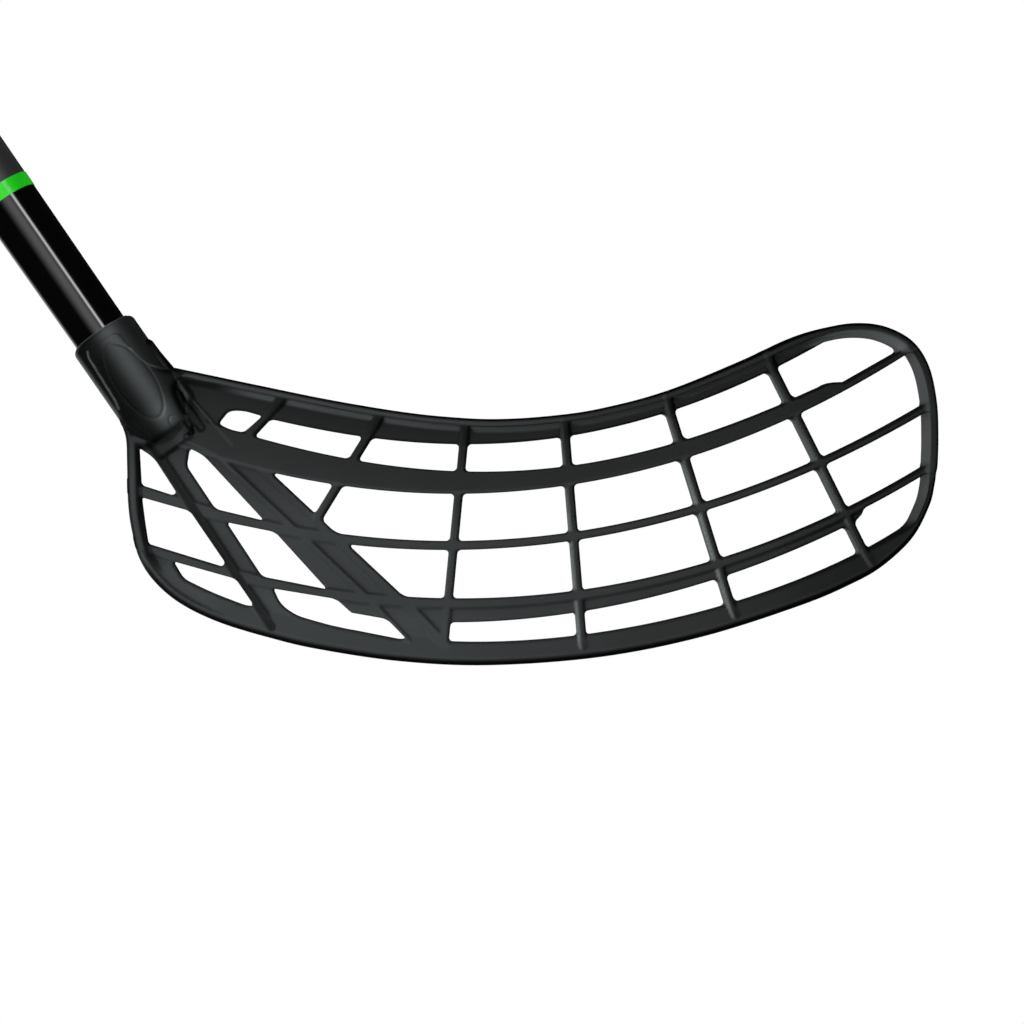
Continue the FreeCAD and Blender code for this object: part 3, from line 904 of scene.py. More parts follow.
@dataclass(frozen=True)
class SocketShield:
    """Raised shield on the socket's front that fairs into the shoulder, with an oval line and a round mark.

    A sink says how far inside the tube's radius seen points lie, and a rise how far above the plate.
    """

    socket: SocketShape
    step: float = 0.3
    loop_steps: int = 6
    height: float = 0.45
    fairing: float = 4.5
    plate: float = 4.8
    plate_side: Span = (4.0, 8.0)
    skin: float = 1.2
    root: float = 1.5
    root_side: Span = (7.2, 9.2)
    edge_round: float = 0.5
    groove_depth: float = 0.4
    groove_half: float = 0.4
    foot_reach: float = 4.0
    top_sink: float = 1.0
    low_sink: float = 3.0
    mark_sink: float = 2.0
    lit_rise: float = 2.0
    lit_edge_pixels: Points = ((132, 349), (142.6, 359.3), (151.8, 364.5), (163.3, 368), (172, 370))
    top_pixels: Points = (
        (98, 343), (106, 338), (113.5, 333.4), (118.5, 333.4), (124.3, 339.8), (133.4, 350), (142.6, 359.3),
    )
    plate_pixels: Points = (
        (151.8, 364.5), (163.3, 368), (172, 370), (186, 373), (183, 377), (178.5, 381),
        (176, 388), (178, 397), (184, 410), (191, 423), (190, 431), (185, 436),
    )
    low_pixels: Points = (
        (184, 442), (179, 450), (169, 457), (160, 453), (150, 440), (141, 426), (124, 408), (110, 386),
        (101, 362),
    )
    badge_centre_pixel: tuple[float, float] = (134.0, 381.0)
    badge_half: tuple[float, float] = (13.8, 5.9)
    mark_pixel: tuple[float, float] = (174.8, 420.0)
    mark_radius: float = 1.8

    # Painted light and shade on the shield: a darker oval, a lit upper edge and a dark right side.
    badge_tone: float = 0.88
    badge_edge: Span = (-0.3, 0.3)
    edge_gain: float = 3.0
    edge_light: Span = (0.3, 0.9)
    right_loss: float = 0.9
    right_across: Span = (3.0, 5.0)
    right_start: Span = (17.0, 21.0)
    right_end: Span = (35.0, 37.0)
    right_rim: Span = (0.6, 2.4)

    def loop(self) -> Array:
        """The shield's outline.

        Returns:
            Distances along and across the tube, one row per corner.
        """
        seen, radius = self.socket.seen_place, self.socket.radius
        parts = [
            seen(self.top_pixels, radius - self.top_sink),
            seen(self.plate_pixels, self.plate),
            seen(self.low_pixels, radius - self.low_sink),
        ]
        return smooth_run(np.vstack(parts), self.loop_steps)

    def badge_gap(self, along: Array, across: Array) -> Array:
        """Distance outside the oval: its scaled radius less 1, times the short half.

        Args:
            along: Distances from the mouth.
            across: Distances to the right of the axis.

        Returns:
            Distances, negative inside the oval.
        """
        centre = self.socket.seen_place([self.badge_centre_pixel], self.socket.radius)[0]
        long_half, short_half = self.badge_half
        reach = np.hypot((along - centre[0]) / long_half, (across - centre[1]) / short_half)
        return (reach - 1.0) * short_half

    def surface(self, along: Array, across: Array, gap: Array) -> Array:
        """Height of the shield: dome and shoulder plate with a fillet between, less edges and grooves.

        Args:
            along: Distances from the mouth.
            across: Distances to the right of the axis.
            gap: Distance inside the outline.

        Returns:
            Heights in front of the axis.
        """
        dome = self.socket.dome(along, across, self.socket.radius + self.height)
        height = blend_up(dome, self.plate * smooth(*self.plate_side, across), self.fairing)
        height = blend_up(height, self.socket.foot(along, across), self.foot_reach)
        height = height - edge_drop(self.edge_round, gap)
        mark = self.socket.seen_place([self.mark_pixel], self.socket.radius - self.mark_sink)[0]
        mark_gap = np.hypot(along - mark[0], across - mark[1]) - self.mark_radius
        for line in (self.badge_gap(along, across), mark_gap):
            height = height - self.groove_depth * fall((0.0, self.groove_half), np.abs(line))
        return height

    def shade(self, along: Array, across: Array, front: Array, gap: Array) -> Array:
        """Painted light and shade on the shield: the tube's painted light and shade, a darker oval, a lit
        upper edge and a dark right side.

        Args:
            along: Distances from the mouth.
            across: Distances to the right of the axis.
            front: Heights in front of the axis.
            gap: Distance inside the outline.

        Returns:
            Multipliers of the base colour.
        """
        tone = self.socket.painted_sheen(along, across, front)
        inside = smooth(*self.badge_edge, -self.badge_gap(along, across))
        tone = tone * (1.0 + (self.badge_tone - 1.0) * inside)
        lit_edge = self.socket.seen_place(self.lit_edge_pixels, self.plate + self.lit_rise)
        tone = tone + self.edge_gain * fall(self.edge_light, line_distance(lit_edge, along, across))
        right = smooth(*self.right_start, along) * fall(self.right_end, along)
        right = right * smooth(*self.right_across, across) * fall(self.right_rim, gap)
        return tone * (1.0 - self.right_loss * right)

    def build(self) -> bpy.types.Object:
        """Thin plate over the tube, deeper where it joins the shoulder.

        Returns:
            The shield piece.
        """
        axis = self.socket.pattern.axis
        loop = self.loop()
        low, high = loop.min(axis=0) - self.step, loop.max(axis=0) + self.step
        lines = [np.arange(low[k], high[k], self.step) for k in range(2)]
        plate = Plate(*np.meshgrid(*lines, indexing="ij"), lambda s, a: loop_gap(loop, s, a), self.step)
        along, across = plate.u, plate.w
        gap = loop_gap(loop, along, across)
        front = self.surface(along, across, gap)
        thin = front - self.skin
        rear = thin - (thin - self.root) * smooth(*self.root_side, across)
        rear = np.minimum(rear, front - self.skin / 2)
        flat = (axis.socket_start + along)[:, None] * axis.down + across[:, None] * axis.right
        faces = [flat - height[:, None] * np.array([0.0, 1.0, 0.0]) for height in (front, rear)]
        piece = plate.closed("blade_shield", *faces)
        # Painted light and shade on the shield, kept for the material.
        tone = self.shade(along, across, front, gap)
        keep_values(piece, SHADE, np.concatenate([tone, tone]))
        weld_points(piece.data, WELD_MM)
        return settle(piece, BLADE_PLASTIC, ["blade"])


@dataclass
class BladeLattice:
    """Moulded lattice: a flat pattern of openings and a relief on both faces, carried on the bend.

    A span says where an effect starts and ends, in millimetres unless its heading says otherwise.
    """

    pattern: BladePattern
    socket: SocketShape
    step: float = 0.53
    row_share: float = 0.9
    row_range: tuple[float, float] = (-0.06, 1.22)
    loop_steps: int = 8
    top_line_points: tuple[int, int] = (1, 13)
    sole_line_points: tuple[int, int] = (0, 10)
    wall_rings: tuple[float, ...] = (0.07, 0.93)

    # Openings
    rim_width: float = 2.6
    toe_slope: float = 1.9
    corner_radius: float = 1.2
    corner_growth: float = 1.0
    corner_run: Span = (140.0, 190.0)
    heel_corner_radius: float = 0.9

    # Rails, ribs and ridges
    web: float = 2.1
    bar: float = 3.5
    crest: float = 5.0
    edge_round: float = 0.55
    bar_side: Span = (-0.7, 0.15)
    bar_blend: float = 0.25
    rib_width: float = 2.85
    rib_fall: float = 1.5
    rib_power: float = 6.0
    rib_reach: float = 2.0
    ramp_length: float = 7.0
    ramp_start: Span = (0.0, 4.0)

    # Rim, sole and heel
    rim_front: float = 2.3
    rim_slope: float = 2.0
    rim_round: float = 0.9
    rim_blend: float = 0.3
    nose_width: float = 2.3
    nose_edge: float = 0.7
    sole_width: float = 8.6
    sole_foot: float = 2.3
    sole_side: Span = (-1.0, 6.0)
    heel_step: float = 1.0
    heel_step_side: Span = (0.3, 0.8)
    heel_step_end: Span = (24.0, 36.0)
    heel_width: float = 4.2
    heel_spread: float = 1.08
    heel_base: float = 1.0
    heel_rise: float = 3.6
    heel_run: Span = (14.0, 26.0)

    # By the socket
    fairing: float = 3.0
    tube_sink: float = 0.5
    tube_start: Span = (1.0, 3.5)
    foot_sink: float = 0.6
    slot_level: float = 0.8
    slot_side: Span = (-0.5, 0.4)

    # Painted light and shade across a rib and beside it, where 1 is half its width
    rib_light: float = 5.0
    rib_light_side: Span = (0.2, 0.9)
    rib_dark: float = 0.6
    rib_dark_side: Span = (-0.6, 0.0)
    rib_end: Span = (1.0, 1.3)
    beside_rib: Span = (0.9, 1.6)

    # Painted light and shade of the ribs and walls by place on the blade
    rib_least: float = 0.1
    rail_side: Span = (-0.8, 0.2)
    plain_sole_side: Span = (-1.0, 1.0)
    plain_sole_end: Span = (115.0, 130.0)
    growth_run: Span = (100.0, 190.0)
    wall_low: float = 0.25
    wall_light: float = 2.5
    wall_least: float = 0.3
    wall_way: tuple[float, float] = (0.8, 0.6)
    outline_reach: float = 0.1
    outline_tone: float = 0.05

    # Painted light and shade of the rim
    rim_edge: Span = (0.3, 1.5)
    sole_edge: Span = (0.8, 2.6)
    inner_loss: float = 0.65
    inner_start: Span = (2.4, 3.3)
    inner_end: Span = (4.6, 5.4)
    front_gain: float = 2.0
    front_start: Span = (0.6, 1.4)
    front_end: Span = (1.9, 2.3)
    front_loss: float = 0.5
    front_run: Span = (100.0, 180.0)
    slope_gain: float = 3.6
    slope_start: Span = (0.0, 0.7)
    slope_end: Span = (-0.8, 0.4)
    slope_run: Span = (30.0, 44.0)
    toe_slope_gain: float = 2.0
    toe_run: Span = (218.0, 231.0)
    toe_above: Span = (0.0, 4.0)
    toe_lead: float = 0.3
    toe_widening: float = 1.5

    # Painted light and shade by height, where a drop of 1 is the drop height below the upper rail's top
    drop_height: float = 50.0
    drop_range: tuple[float, float] = (-0.6, 1.0)
    rail_gain: float = 1.1
    rail_drop: Span = (0.0, 0.5)
    sole_gain: float = 0.6
    sole_drop: Span = (0.85, 1.0)
    web_loss: float = 2.05
    least_level: float = 0.12

    # Painted shade of the strut and the toe, and painted highlights on the thin lit lines
    strut_loss: float = 0.75
    strut_side: Span = (1.1, 1.7)
    toe_loss: float = 0.5
    toe_dark: Span = (195.0, 240.0)
    toe_fade: float = 0.42
    sole_fade: float = 0.3
    fade_run: Span = (40.0, 280.0)
    edge_gain: float = 1.0
    under_side: Span = (0.2, 0.9)
    under_shift: float = 0.3
    line_side: Span = (0.05, 0.55)
    centre_end: Span = (34.0, 46.0)

    # Lines and outlines, in the photograph's pixels where the name says so, else in millimetres
    upper_run_pixels: Points = (
        (172, 367), (200, 373), (262, 386), (331, 400), (400, 411.5), (450, 417), (496, 419), (548, 416),
        (600, 408.5), (670, 390), (744, 360.5), (792, 338.5), (824, 328), (855.5, 323), (885.5, 326.5),
        (912.5, 341), (929, 366), (937, 402), (938.5, 438), (937.5, 470), (936.5, 486), (931, 507),
        (914, 538.5),
    )
    lower_run_pixels: Points = (
        (880, 566.5), (849, 584.2), (800, 605), (702, 636.4), (600, 656.8), (489, 665), (400, 661),
        (320, 649.2), (273, 638.4), (222, 623), (184, 605.2), (158, 584.6), (141, 560.5), (132.4, 530),
        (128.7, 502), (127.7, 464), (126.5, 438), (120, 419),
    )
    inside_socket_places: Points = (
        (24.4, -9.7), (30.5, -9.7), (33.5, -6.5), (33.5, 6.5), (30.5, 9.7), (8.6, 9.7), (8.3, 11.1),
    )
    gusset_pixels: Points = ((149.5, 339), (158.5, 351))
    gusset_line_pixels: Points = ((151.8, 345.5), (165, 365))
    rail_pixels: dict[str, Points] = field(default_factory=lambda: {
        "row_one_top": ((250, 414), (300, 425.5), (430, 443), (540, 440), (640, 420.5), (740, 385),
                        (820, 345)),
        "row_one_low": ((240, 432.5), (300, 448.5), (430, 469.5), (540, 469), (650, 450), (760, 414),
                        (820, 388.5)),
        "row_two_top": ((200, 453), (300, 478.5), (430, 493.5), (540, 489), (650, 468.5), (760, 431.5),
                        (890, 365)),
        "row_two_low": ((150, 487.5), (220, 510), (350, 535), (430, 540.5), (540, 536.5), (660, 515.5),
                        (770, 480.5), (835, 453), (905, 417.5)),
        "row_three_top": ((150, 500), (220, 521), (370, 546.5), (430, 550), (540, 545), (660, 523.5),
                          (790, 480.5), (840, 458), (910, 422)),
        "row_three_low": ((150, 544), (220, 566), (410, 597.5), (480, 598.5), (540, 595), (660, 576),
                          (790, 535), (860, 503.5), (910, 477)),
        "bar_four_low": ((180, 563.5), (240, 581), (430, 607.5), (650, 586.5), (840, 520.5), (905, 486.5)),
        "row_four_top": ((440, 622.5), (500, 621), (550, 616.5), (660, 595.5), (750, 568), (835, 532.5)),
        "row_four_low": ((290, 613), (370, 633.5), (460, 642.5), (550, 638.5), (660, 622.5), (750, 598.5),
                         (835, 566), (895, 536)),
        "toe_bar_top": ((790, 414), (850, 380), (890, 358), (930, 335)),
    })
    rail_edges: tuple[tuple[str, str], ...] = (
        ("row_one_low", "row_two_top"), ("row_two_low", "row_three_top"), ("row_three_low", "bar_four_low"),
    )
    rib_pixels: dict[str, Points] = field(default_factory=lambda: {
        "first": ((283, 398), (240, 444)),
        "second": ((379.2, 417), (317.2, 518)),
        "third": ((465.5, 424), (443.4, 650)),
        "fourth": ((564.8, 420), (583.3, 645)),
        "fifth": ((666.4, 395), (734.9, 614)),
        "sixth": ((763, 346), (871, 562)),
    })
    beam_edge_pixels: Points = ((271.8, 474), (403, 597))
    ridge_pixels: dict[str, Points] = field(default_factory=lambda: {
        "strut_bar": ((150, 443), (184, 494), (243, 585), (272, 627)),
        "centre_ridge": ((176, 437), (197, 446), (216, 455), (285, 520), (300, 534), (357, 588), (372, 602),
                         (408, 642)),
        "beam_bar": ((259, 466), (305, 508), (345, 546), (409, 607), (448, 648)),
        "shoulder_ridge": ((180, 386), (232, 445)),
    })
    ridge_halves: dict[str, float] = field(default_factory=lambda: {
        "strut_bar": 1.3, "centre_ridge": 0.75, "beam_bar": 1.4, "shoulder_ridge": 0.1,
    })
    ridge_tops: dict[str, float] = field(default_factory=lambda: {
        "strut_bar": 3.5, "centre_ridge": 3.5, "beam_bar": 3.5, "shoulder_ridge": 3.6,
    })
    slot_pixels: dict[str, Points] = field(default_factory=lambda: {
        "shoulder_slot": ((190, 423), (177.5, 396), (201, 427)),
        "notch": ((188, 429), (191, 432)),
    })
    slot_halves: dict[str, float] = field(default_factory=lambda: {"shoulder_slot": 1.3, "notch": 0.9})
    heel_hole_pixels: tuple[Points, ...] = (
        ((217.5, 423), (227, 411), (240, 409.7), (262, 416), (243, 432.3), (226, 428.6)),
        ((137, 447), (153, 457.4), (176, 493), (172, 495.5), (139.5, 485)),
        ((140, 497), (189.5, 511), (225.2, 563), (221, 567), (146.2, 544)),
        ((171.5, 561), (235.6, 579), (254, 606), (246, 606.8), (227, 600.2), (203, 590.2), (182, 579)),
        ((188.2, 448), (202, 454.3), (264, 521), (213.9, 509), (185.2, 466)),
        ((224.8, 522), (274.5, 532), (327.2, 590), (261, 577)),
        ((272, 588.5), (335.6, 599), (354, 615.5), (354, 631), (320, 624), (293, 615), (279, 604)),
        ((320, 607.5), (387, 619.3), (406, 638.8), (402, 640.3), (320, 624), (305, 618)),
    )
    toe_pad_pixels: tuple[Points, ...] = (
        ((784, 426), (790, 401), (824, 386), (846, 400)),
        ((822, 387.4), (826, 384.4), (833, 382.2), (845, 381.8), (853, 384.5), (848, 398), (826, 398)),
    )
    low_pad_pixels: Points = ((838, 500), (868, 504), (863.5, 514.5), (854, 525), (840, 529))

    def __post_init__(self) -> None:
        """Work out the pattern's curves from the pixels."""
        place = self.pattern.from_photo
        rim_face = self.crest - self.rim_round
        self.rails = {name: RailEdge(place(pixels)) for name, pixels in self.rail_pixels.items()}
        self.ribs = {name: place(pixels) for name, pixels in self.rib_pixels.items()}
        self.ridges = {name: place(pixels) for name, pixels in self.ridge_pixels.items()}
        self.slots = {name: place(pixels) for name, pixels in self.slot_pixels.items()}
        self.beam_edge = place(self.beam_edge_pixels)
        self.gusset_line = place(self.gusset_line_pixels, rim_face)
        upper = place(self.upper_run_pixels, rim_face)
        lower = place(self.lower_run_pixels, self.nose_edge)
        inside = self.socket.pattern_place(self.inside_socket_places)
        run = smooth_run(np.vstack([upper, lower]), self.loop_steps)
        self.loop = np.vstack([run, inside, place(self.gusset_pixels, rim_face)])
        self.top_line = RailEdge(upper[slice(*self.top_line_points)])
        self.sole_line = RailEdge(lower[slice(*self.sole_line_points)])

    def rim_gap(self, u: Array, w: Array) -> Array:
        """Signed distance inside the outline."""
        return loop_gap(self.loop, u, w)

    def between(self, left: str, right: str, u: Array, w: Array) -> list[Array]:
        """Gaps to the ribs on both sides of a cell.

        Args:
            left: Rib on its heel side, or nothing.
            right: Rib on its toe side, or nothing.
            u: Distances from the heel.
            w: Heights.

        Returns:
            One gap for each rib that is named.
        """
        half = self.rib_width / 2
        gaps = []
        if left:
            gaps.append(side_gap(*self.ribs[left], u, w) - half)
        if right:
            gaps.append(-side_gap(*self.ribs[right], u, w) - half)
        return gaps

    def cell(self, top: str, low: str, left: str, right: str, u: Array, w: Array, extra: Sequence[Array] = (),
             over: Sequence[Array] = (), under: Sequence[Array] = ()) -> Array:
        """Depth inside one opening of the lattice.

        Args:
            top: Rail edge above it.
            low: Rail edge below it.
            left: Rib on its heel side, or nothing.
            right: Rib on its toe side, or nothing.
            u: Distances from the heel.
            w: Heights.
            extra: Further gaps that bound it.
            over: Gaps that carry on from the edge above it, without a round corner.
            under: Gaps that carry on from the edge below it.

        Returns:
            Depth inside the opening, negative outside.
        """
        above = np.minimum.reduce([-self.rails[top].above(u, w), *over])
        below = np.minimum.reduce([self.rails[low].above(u, w), *under])
        sides = self.between(left, right, u, w)
        depth = round_inside([above, below, *sides, *extra], self.corner_radius)
        wide = self.corner_radius + self.corner_growth * smooth(*self.corner_run, u)
        if left:
            depth = np.minimum(depth, round_inside([below, sides[0]], wide))
        if right:
            depth = np.minimum(depth, round_inside([above, sides[-1]], wide))
        return depth

    def outside_polygon(self, pixels: Points, u: Array, w: Array) -> Array:
        """Signed distance outside a convex polygon given by pixels."""
        return -np.minimum.reduce(polygon_gaps(self.pattern.from_photo(pixels), u, w))

    def opening_depth(self, u: Array, w: Array, rim: Array) -> Array:
        """Depth inside the nearest opening: the greatest of all the cells' depths.

        Args:
            u: Distances from the heel.
            w: Heights.
            rim: Signed distance inside the outline.

        Returns:
            Positive inside an opening, negative in the plastic.
        """
        inner = rim - self.rim_width
        beam = side_gap(*self.beam_edge, u, w)
        toe_pads = [self.outside_polygon(pixels, u, w) for pixels in self.toe_pad_pixels]
        toe_rim = [inner - self.toe_slope]
        low_pad = self.outside_polygon(self.low_pad_pixels, u, w)
        row_one, row_two = ("row_one_top", "row_one_low"), ("row_two_top", "row_two_low")
        row_three, row_four = ("row_three_top", "row_three_low"), ("row_four_top", "row_four_low")
        order = list(self.ribs)
        found = [
            self.cell(*row_three, "", "third", u, w, (beam,)),
            self.cell("row_one_top", "toe_bar_top", "sixth", "", u, w, over=toe_rim, under=toe_pads),
            self.cell(*row_two, "sixth", "", u, w, (inner,)),
            self.cell(*row_three, "sixth", "", u, w, (inner,)),
            self.cell("bar_four_low", "row_four_low", "sixth", "", u, w, (inner,), over=(low_pad,)),
        ]
        for left, right in zip(order, order[1:]):
            found.append(self.cell(*row_one, left, right, u, w))
        for left, right in zip(["", *order[1:]], order[1:]):
            found.append(self.cell(*row_two, left, right, u, w, (beam,)))
        for left, right in zip(order[2:], order[3:]):
            for row in (row_three, row_four):
                found.append(self.cell(*row, left, right, u, w))
        for pixels in self.heel_hole_pixels:
            gaps = polygon_gaps(self.pattern.from_photo(pixels), u, w)
            found.append(round_inside(gaps, self.heel_corner_radius))
        return np.maximum.reduce(found)

    def solid_gap(self, u: Array, w: Array) -> Array:
        """Signed distance inside the plastic, seen square to the pattern."""
        rim = self.rim_gap(u, w)
        return np.minimum(rim, -self.opening_depth(u, w, rim))

    def rail_gaps(self, u: Array, w: Array) -> list[Array]:
        """Distance inside each of the three rails."""
        pairs = [(self.rails[top], self.rails[low]) for top, low in self.rail_edges]
        return [np.minimum(-top.above(u, w), low.above(u, w)) for top, low in pairs]

    def rib_share(self, u: Array, w: Array) -> Array:
        """Distance from the nearest rib's middle as a share of half its width."""
        near = np.minimum.reduce([line_distance(line, u, w) for line in self.ribs.values()])
        return near / (self.rib_width / 2)

    def sole_share(self, u: Array, w: Array) -> Array:
        """1 on the sole, below the lowest rail, and 0 above it."""
        return smooth(*self.sole_side, -self.rails["bar_four_low"].above(u, w))

    def heel_share(self, u: Array, sole: Array) -> Array:
        """1 at the heel's upright rim, off the sole, and 0 beyond it."""
        return fall(self.heel_run, u) * (1.0 - sole)

    def bars(self, u: Array, w: Array, rim: Array) -> Array:
        """Height of the rails, ribs and ridges above the middle surface.

        Args:
            u: Distances from the heel.
            w: Heights.
            rim: Signed distance inside the outline.

        Returns:
            Heights, at the web's level away from any bar.
        """
        gaps = self.rail_gaps(u, w)
        tops = [self.bar] * len(gaps) + list(self.ridge_tops.values())
        gaps += [half - line_distance(self.ridges[name], u, w) for name, half in self.ridge_halves.items()]
        height = np.full(np.shape(u), self.web)
        for gap, top in zip(gaps, tops):
            rise = self.web + (top - self.web) * smooth(*self.bar_side, gap)
            height = blend_up(height, rise, self.bar_blend)
        ramp = fall((self.rim_front, self.rim_front + self.ramp_length), rim)
        ramp = ramp * smooth(*self.ramp_start, self.rails["row_one_low"].above(u, w))
        top = self.bar + (self.crest - self.bar) * ramp
        roof = top - self.rib_fall * np.minimum(self.rib_share(u, w), self.rib_reach) ** self.rib_power
        return blend_up(height, roof, self.rim_blend)

    def border(self, u: Array, w: Array, rim: Array) -> Array:
        """Height of the rim: flat above and at the toe, a nose and a slope along the sole, round at the heel.

        Args:
            u: Distances from the heel.
            w: Heights.
            rim: Signed distance inside the outline.

        Returns:
            Heights of the rim, falling to the web's level inside it.
        """
        t = np.maximum(rim, 0.0)
        flat = self.crest - edge_drop(self.rim_round, t)
        flat = flat - (self.crest - self.web) * smooth(self.rim_front, self.rim_front + self.rim_slope, t)
        nose = np.sqrt(1.0 - np.square(np.maximum(1.0 - t / self.nose_width, 0.0)))
        down = np.clip((t - self.nose_width) / (self.sole_width - self.nose_width), 0.0, 1.0)
        sole = self.nose_edge + (self.crest - self.nose_edge) * nose - (self.crest - self.sole_foot) * down
        step = smooth(*self.heel_step_side, t - self.nose_width) * fall(self.heel_step_end, u)
        sole = sole - self.heel_step * step * (1.0 - down)
        middle = self.heel_width / 2
        bow = np.sqrt(np.maximum(1.0 - np.square((t - middle) / (middle * self.heel_spread)), 0.0))
        heel = np.where(t < self.heel_width, self.heel_base + self.heel_rise * bow, self.web)
        low = self.sole_share(u, w)
        left = self.heel_share(u, low)
        return flat * (1.0 - low) * (1.0 - left) + sole * low + heel * left

    def tube(self, u: Array, w: Array) -> Array:
        """Height of the socket's tube under its own skin, and of the low foot that runs on from its end.

        Args:
            u: Distances from the heel.
            w: Heights.

        Returns:
            Heights, nil away from the socket.
        """
        along, across = self.socket.flat_place(u, w)
        dome = self.socket.dome(along, across, self.socket.radius - self.tube_sink)
        foot = self.socket.foot(along, across) - self.foot_sink
        return np.maximum(dome * smooth(*self.tube_start, along), foot)

    def sunk(self, u: Array, w: Array, height: Array) -> Array:
        """Heights with the dark slots by the socket sunk into them.

        Args:
            u: Distances from the heel.
            w: Heights of the pattern.
            height: Heights of the face.

        Returns:
            Heights of the face, at most the slots' level inside them.
        """
        for name, half in self.slot_halves.items():
            share = smooth(*self.slot_side, half - line_distance(self.slots[name], u, w))
            height = height - np.maximum(height - self.slot_level, 0.0) * share
        return height

    def relief(self, u: Array, w: Array) -> Array:
        """Height of the face above the middle surface, its edges rounded off at the openings.

        Args:
            u: Distances from the heel.
            w: Heights.

        Returns:
            Heights of the moulded face.
        """
        rim = self.rim_gap(u, w)
        height = blend_up(self.bars(u, w, rim), self.border(u, w, rim), self.rim_blend)
        height = self.sunk(u, w, blend_up(height, self.tube(u, w), self.fairing))
        return height - edge_drop(self.edge_round, -self.opening_depth(u, w, rim))

    def growing(self, least: float, u: Array) -> Array:
        """Share that grows from a least value at the heel to 1 towards the toe."""
        return least + (1.0 - least) * smooth(*self.growth_run, u)

    def rib_shade(self, u: Array, w: Array) -> Array:
        """Painted light and shade of the ribs, off the rails: lit on the heel side, dark on the toe side,
        more so to the toe.

        Args:
            u: Distances from the heel.
            w: Heights.

        Returns:
            Multipliers, 1 away from the ribs.
        """
        sides = np.stack([side_gap(*line, u, w) for line in self.ribs.values()]) / (self.rib_width / 2)
        nearest = np.argmin(np.abs(sides), axis=0)[None]
        side = np.take_along_axis(sides, nearest, axis=0)[0]
        lit = self.rib_light * smooth(*self.rib_light_side, -side)
        lit = lit - self.rib_dark * smooth(*self.rib_dark_side, side)
        off_rail = fall(self.rail_side, np.maximum.reduce(self.rail_gaps(u, w)))
        on_rib = fall(self.rib_end, self.rib_share(u, w))
        plain = smooth(*self.plain_sole_side, -self.rails["bar_four_low"].above(u, w))
        plain = plain * fall(self.plain_sole_end, u)
        return 1.0 + lit * off_rail * on_rib * (1.0 - plain) * self.growing(self.rib_least, u)

    def wall_shade(self, u: Array, w: Array) -> Array:
        """Painted light and shade of the walls: lit where they face the heel and the sole, dark elsewhere and
        round the outline.

        Args:
            u: Distances from the heel.
            w: Heights.

        Returns:
            Multipliers of the base colour.
        """
        probe = self.step / 4
        du = self.solid_gap(u + probe, w) - self.solid_gap(u - probe, w)
        dw = self.solid_gap(u, w + probe) - self.solid_gap(u, w - probe)
        facing = (self.wall_way[0] * du + self.wall_way[1] * dw) / np.maximum(np.hypot(du, dw), LEAST_LENGTH)
        lit = self.wall_light * self.growing(self.wall_least, u) * np.clip(facing, 0.0, 1.0)
        return np.where(self.rim_gap(u, w) < self.outline_reach, self.outline_tone, self.wall_low + lit)

    def rim_light(self, u: Array, w: Array, rim: Array, toe: Array) -> Array:
        """Painted light on the rim's front and on the slope inside it, which is wider and brighter over the
        toe.

        Args:
            u: Distances from the heel.
            w: Heights.
            rim: Signed distance inside the outline.
            toe: Tone of the toe, less than 1 there.

        Returns:
            What is added to the tone.
        """
        front = smooth(*self.front_start, rim) * fall(self.front_end, rim)
        front = front * toe**2 * (1.0 - self.front_loss * smooth(*self.front_run, u))
        over_toe = smooth(*self.toe_run, u) * smooth(*self.toe_above, self.rails["row_two_top"].above(u, w))
        start = self.rim_front - self.toe_lead * over_toe
        end = self.rim_front + self.rim_slope + self.toe_widening * over_toe
        slope = smooth(*self.slope_start, rim - start) * fall(self.slope_end, rim - end)
        slope = slope * smooth(*self.beside_rib, self.rib_share(u, w)) * smooth(*self.slope_run, u)
        return self.front_gain * front + self.slope_gain * slope * (1.0 + self.toe_slope_gain * over_toe)

    def level(self, u: Array, w: Array) -> Array:
        """Painted light and shade by height: dark above the upper rail, lighter from there down to the sole.

        Args:
            u: Distances from the heel.
            w: Heights.

        Returns:
            Multipliers of the base colour.
        """
        drop = np.clip(-self.rails["row_one_low"].above(u, w) / self.drop_height, *self.drop_range)
        level = 1.0 + self.rail_gain * smooth(*self.rail_drop, drop)
        level = level + self.sole_gain * smooth(*self.sole_drop, drop)
        return np.maximum(level + self.web_loss * np.minimum(drop, 0.0), self.least_level)

    def lit_lines(self, u: Array, w: Array) -> Array:
        """Painted highlights on thin edges: under the upper rail, at the shoulder and where the centre ridge
        starts.

        Args:
            u: Distances from the heel.
            w: Heights.

        Returns:
            1 on the lines, 0 away from them.
        """
        under = fall(self.under_side, np.abs(self.rails["row_two_top"].above(u, w) - self.under_shift))
        near = np.minimum.reduce([
            line_distance(self.ridges["shoulder_ridge"], u, w),
            line_distance(self.gusset_line, u, w),
            line_distance(self.ridges["centre_ridge"], u, w) + smooth(*self.centre_end, u),
        ])
        return np.maximum(under, fall(self.line_side, near))

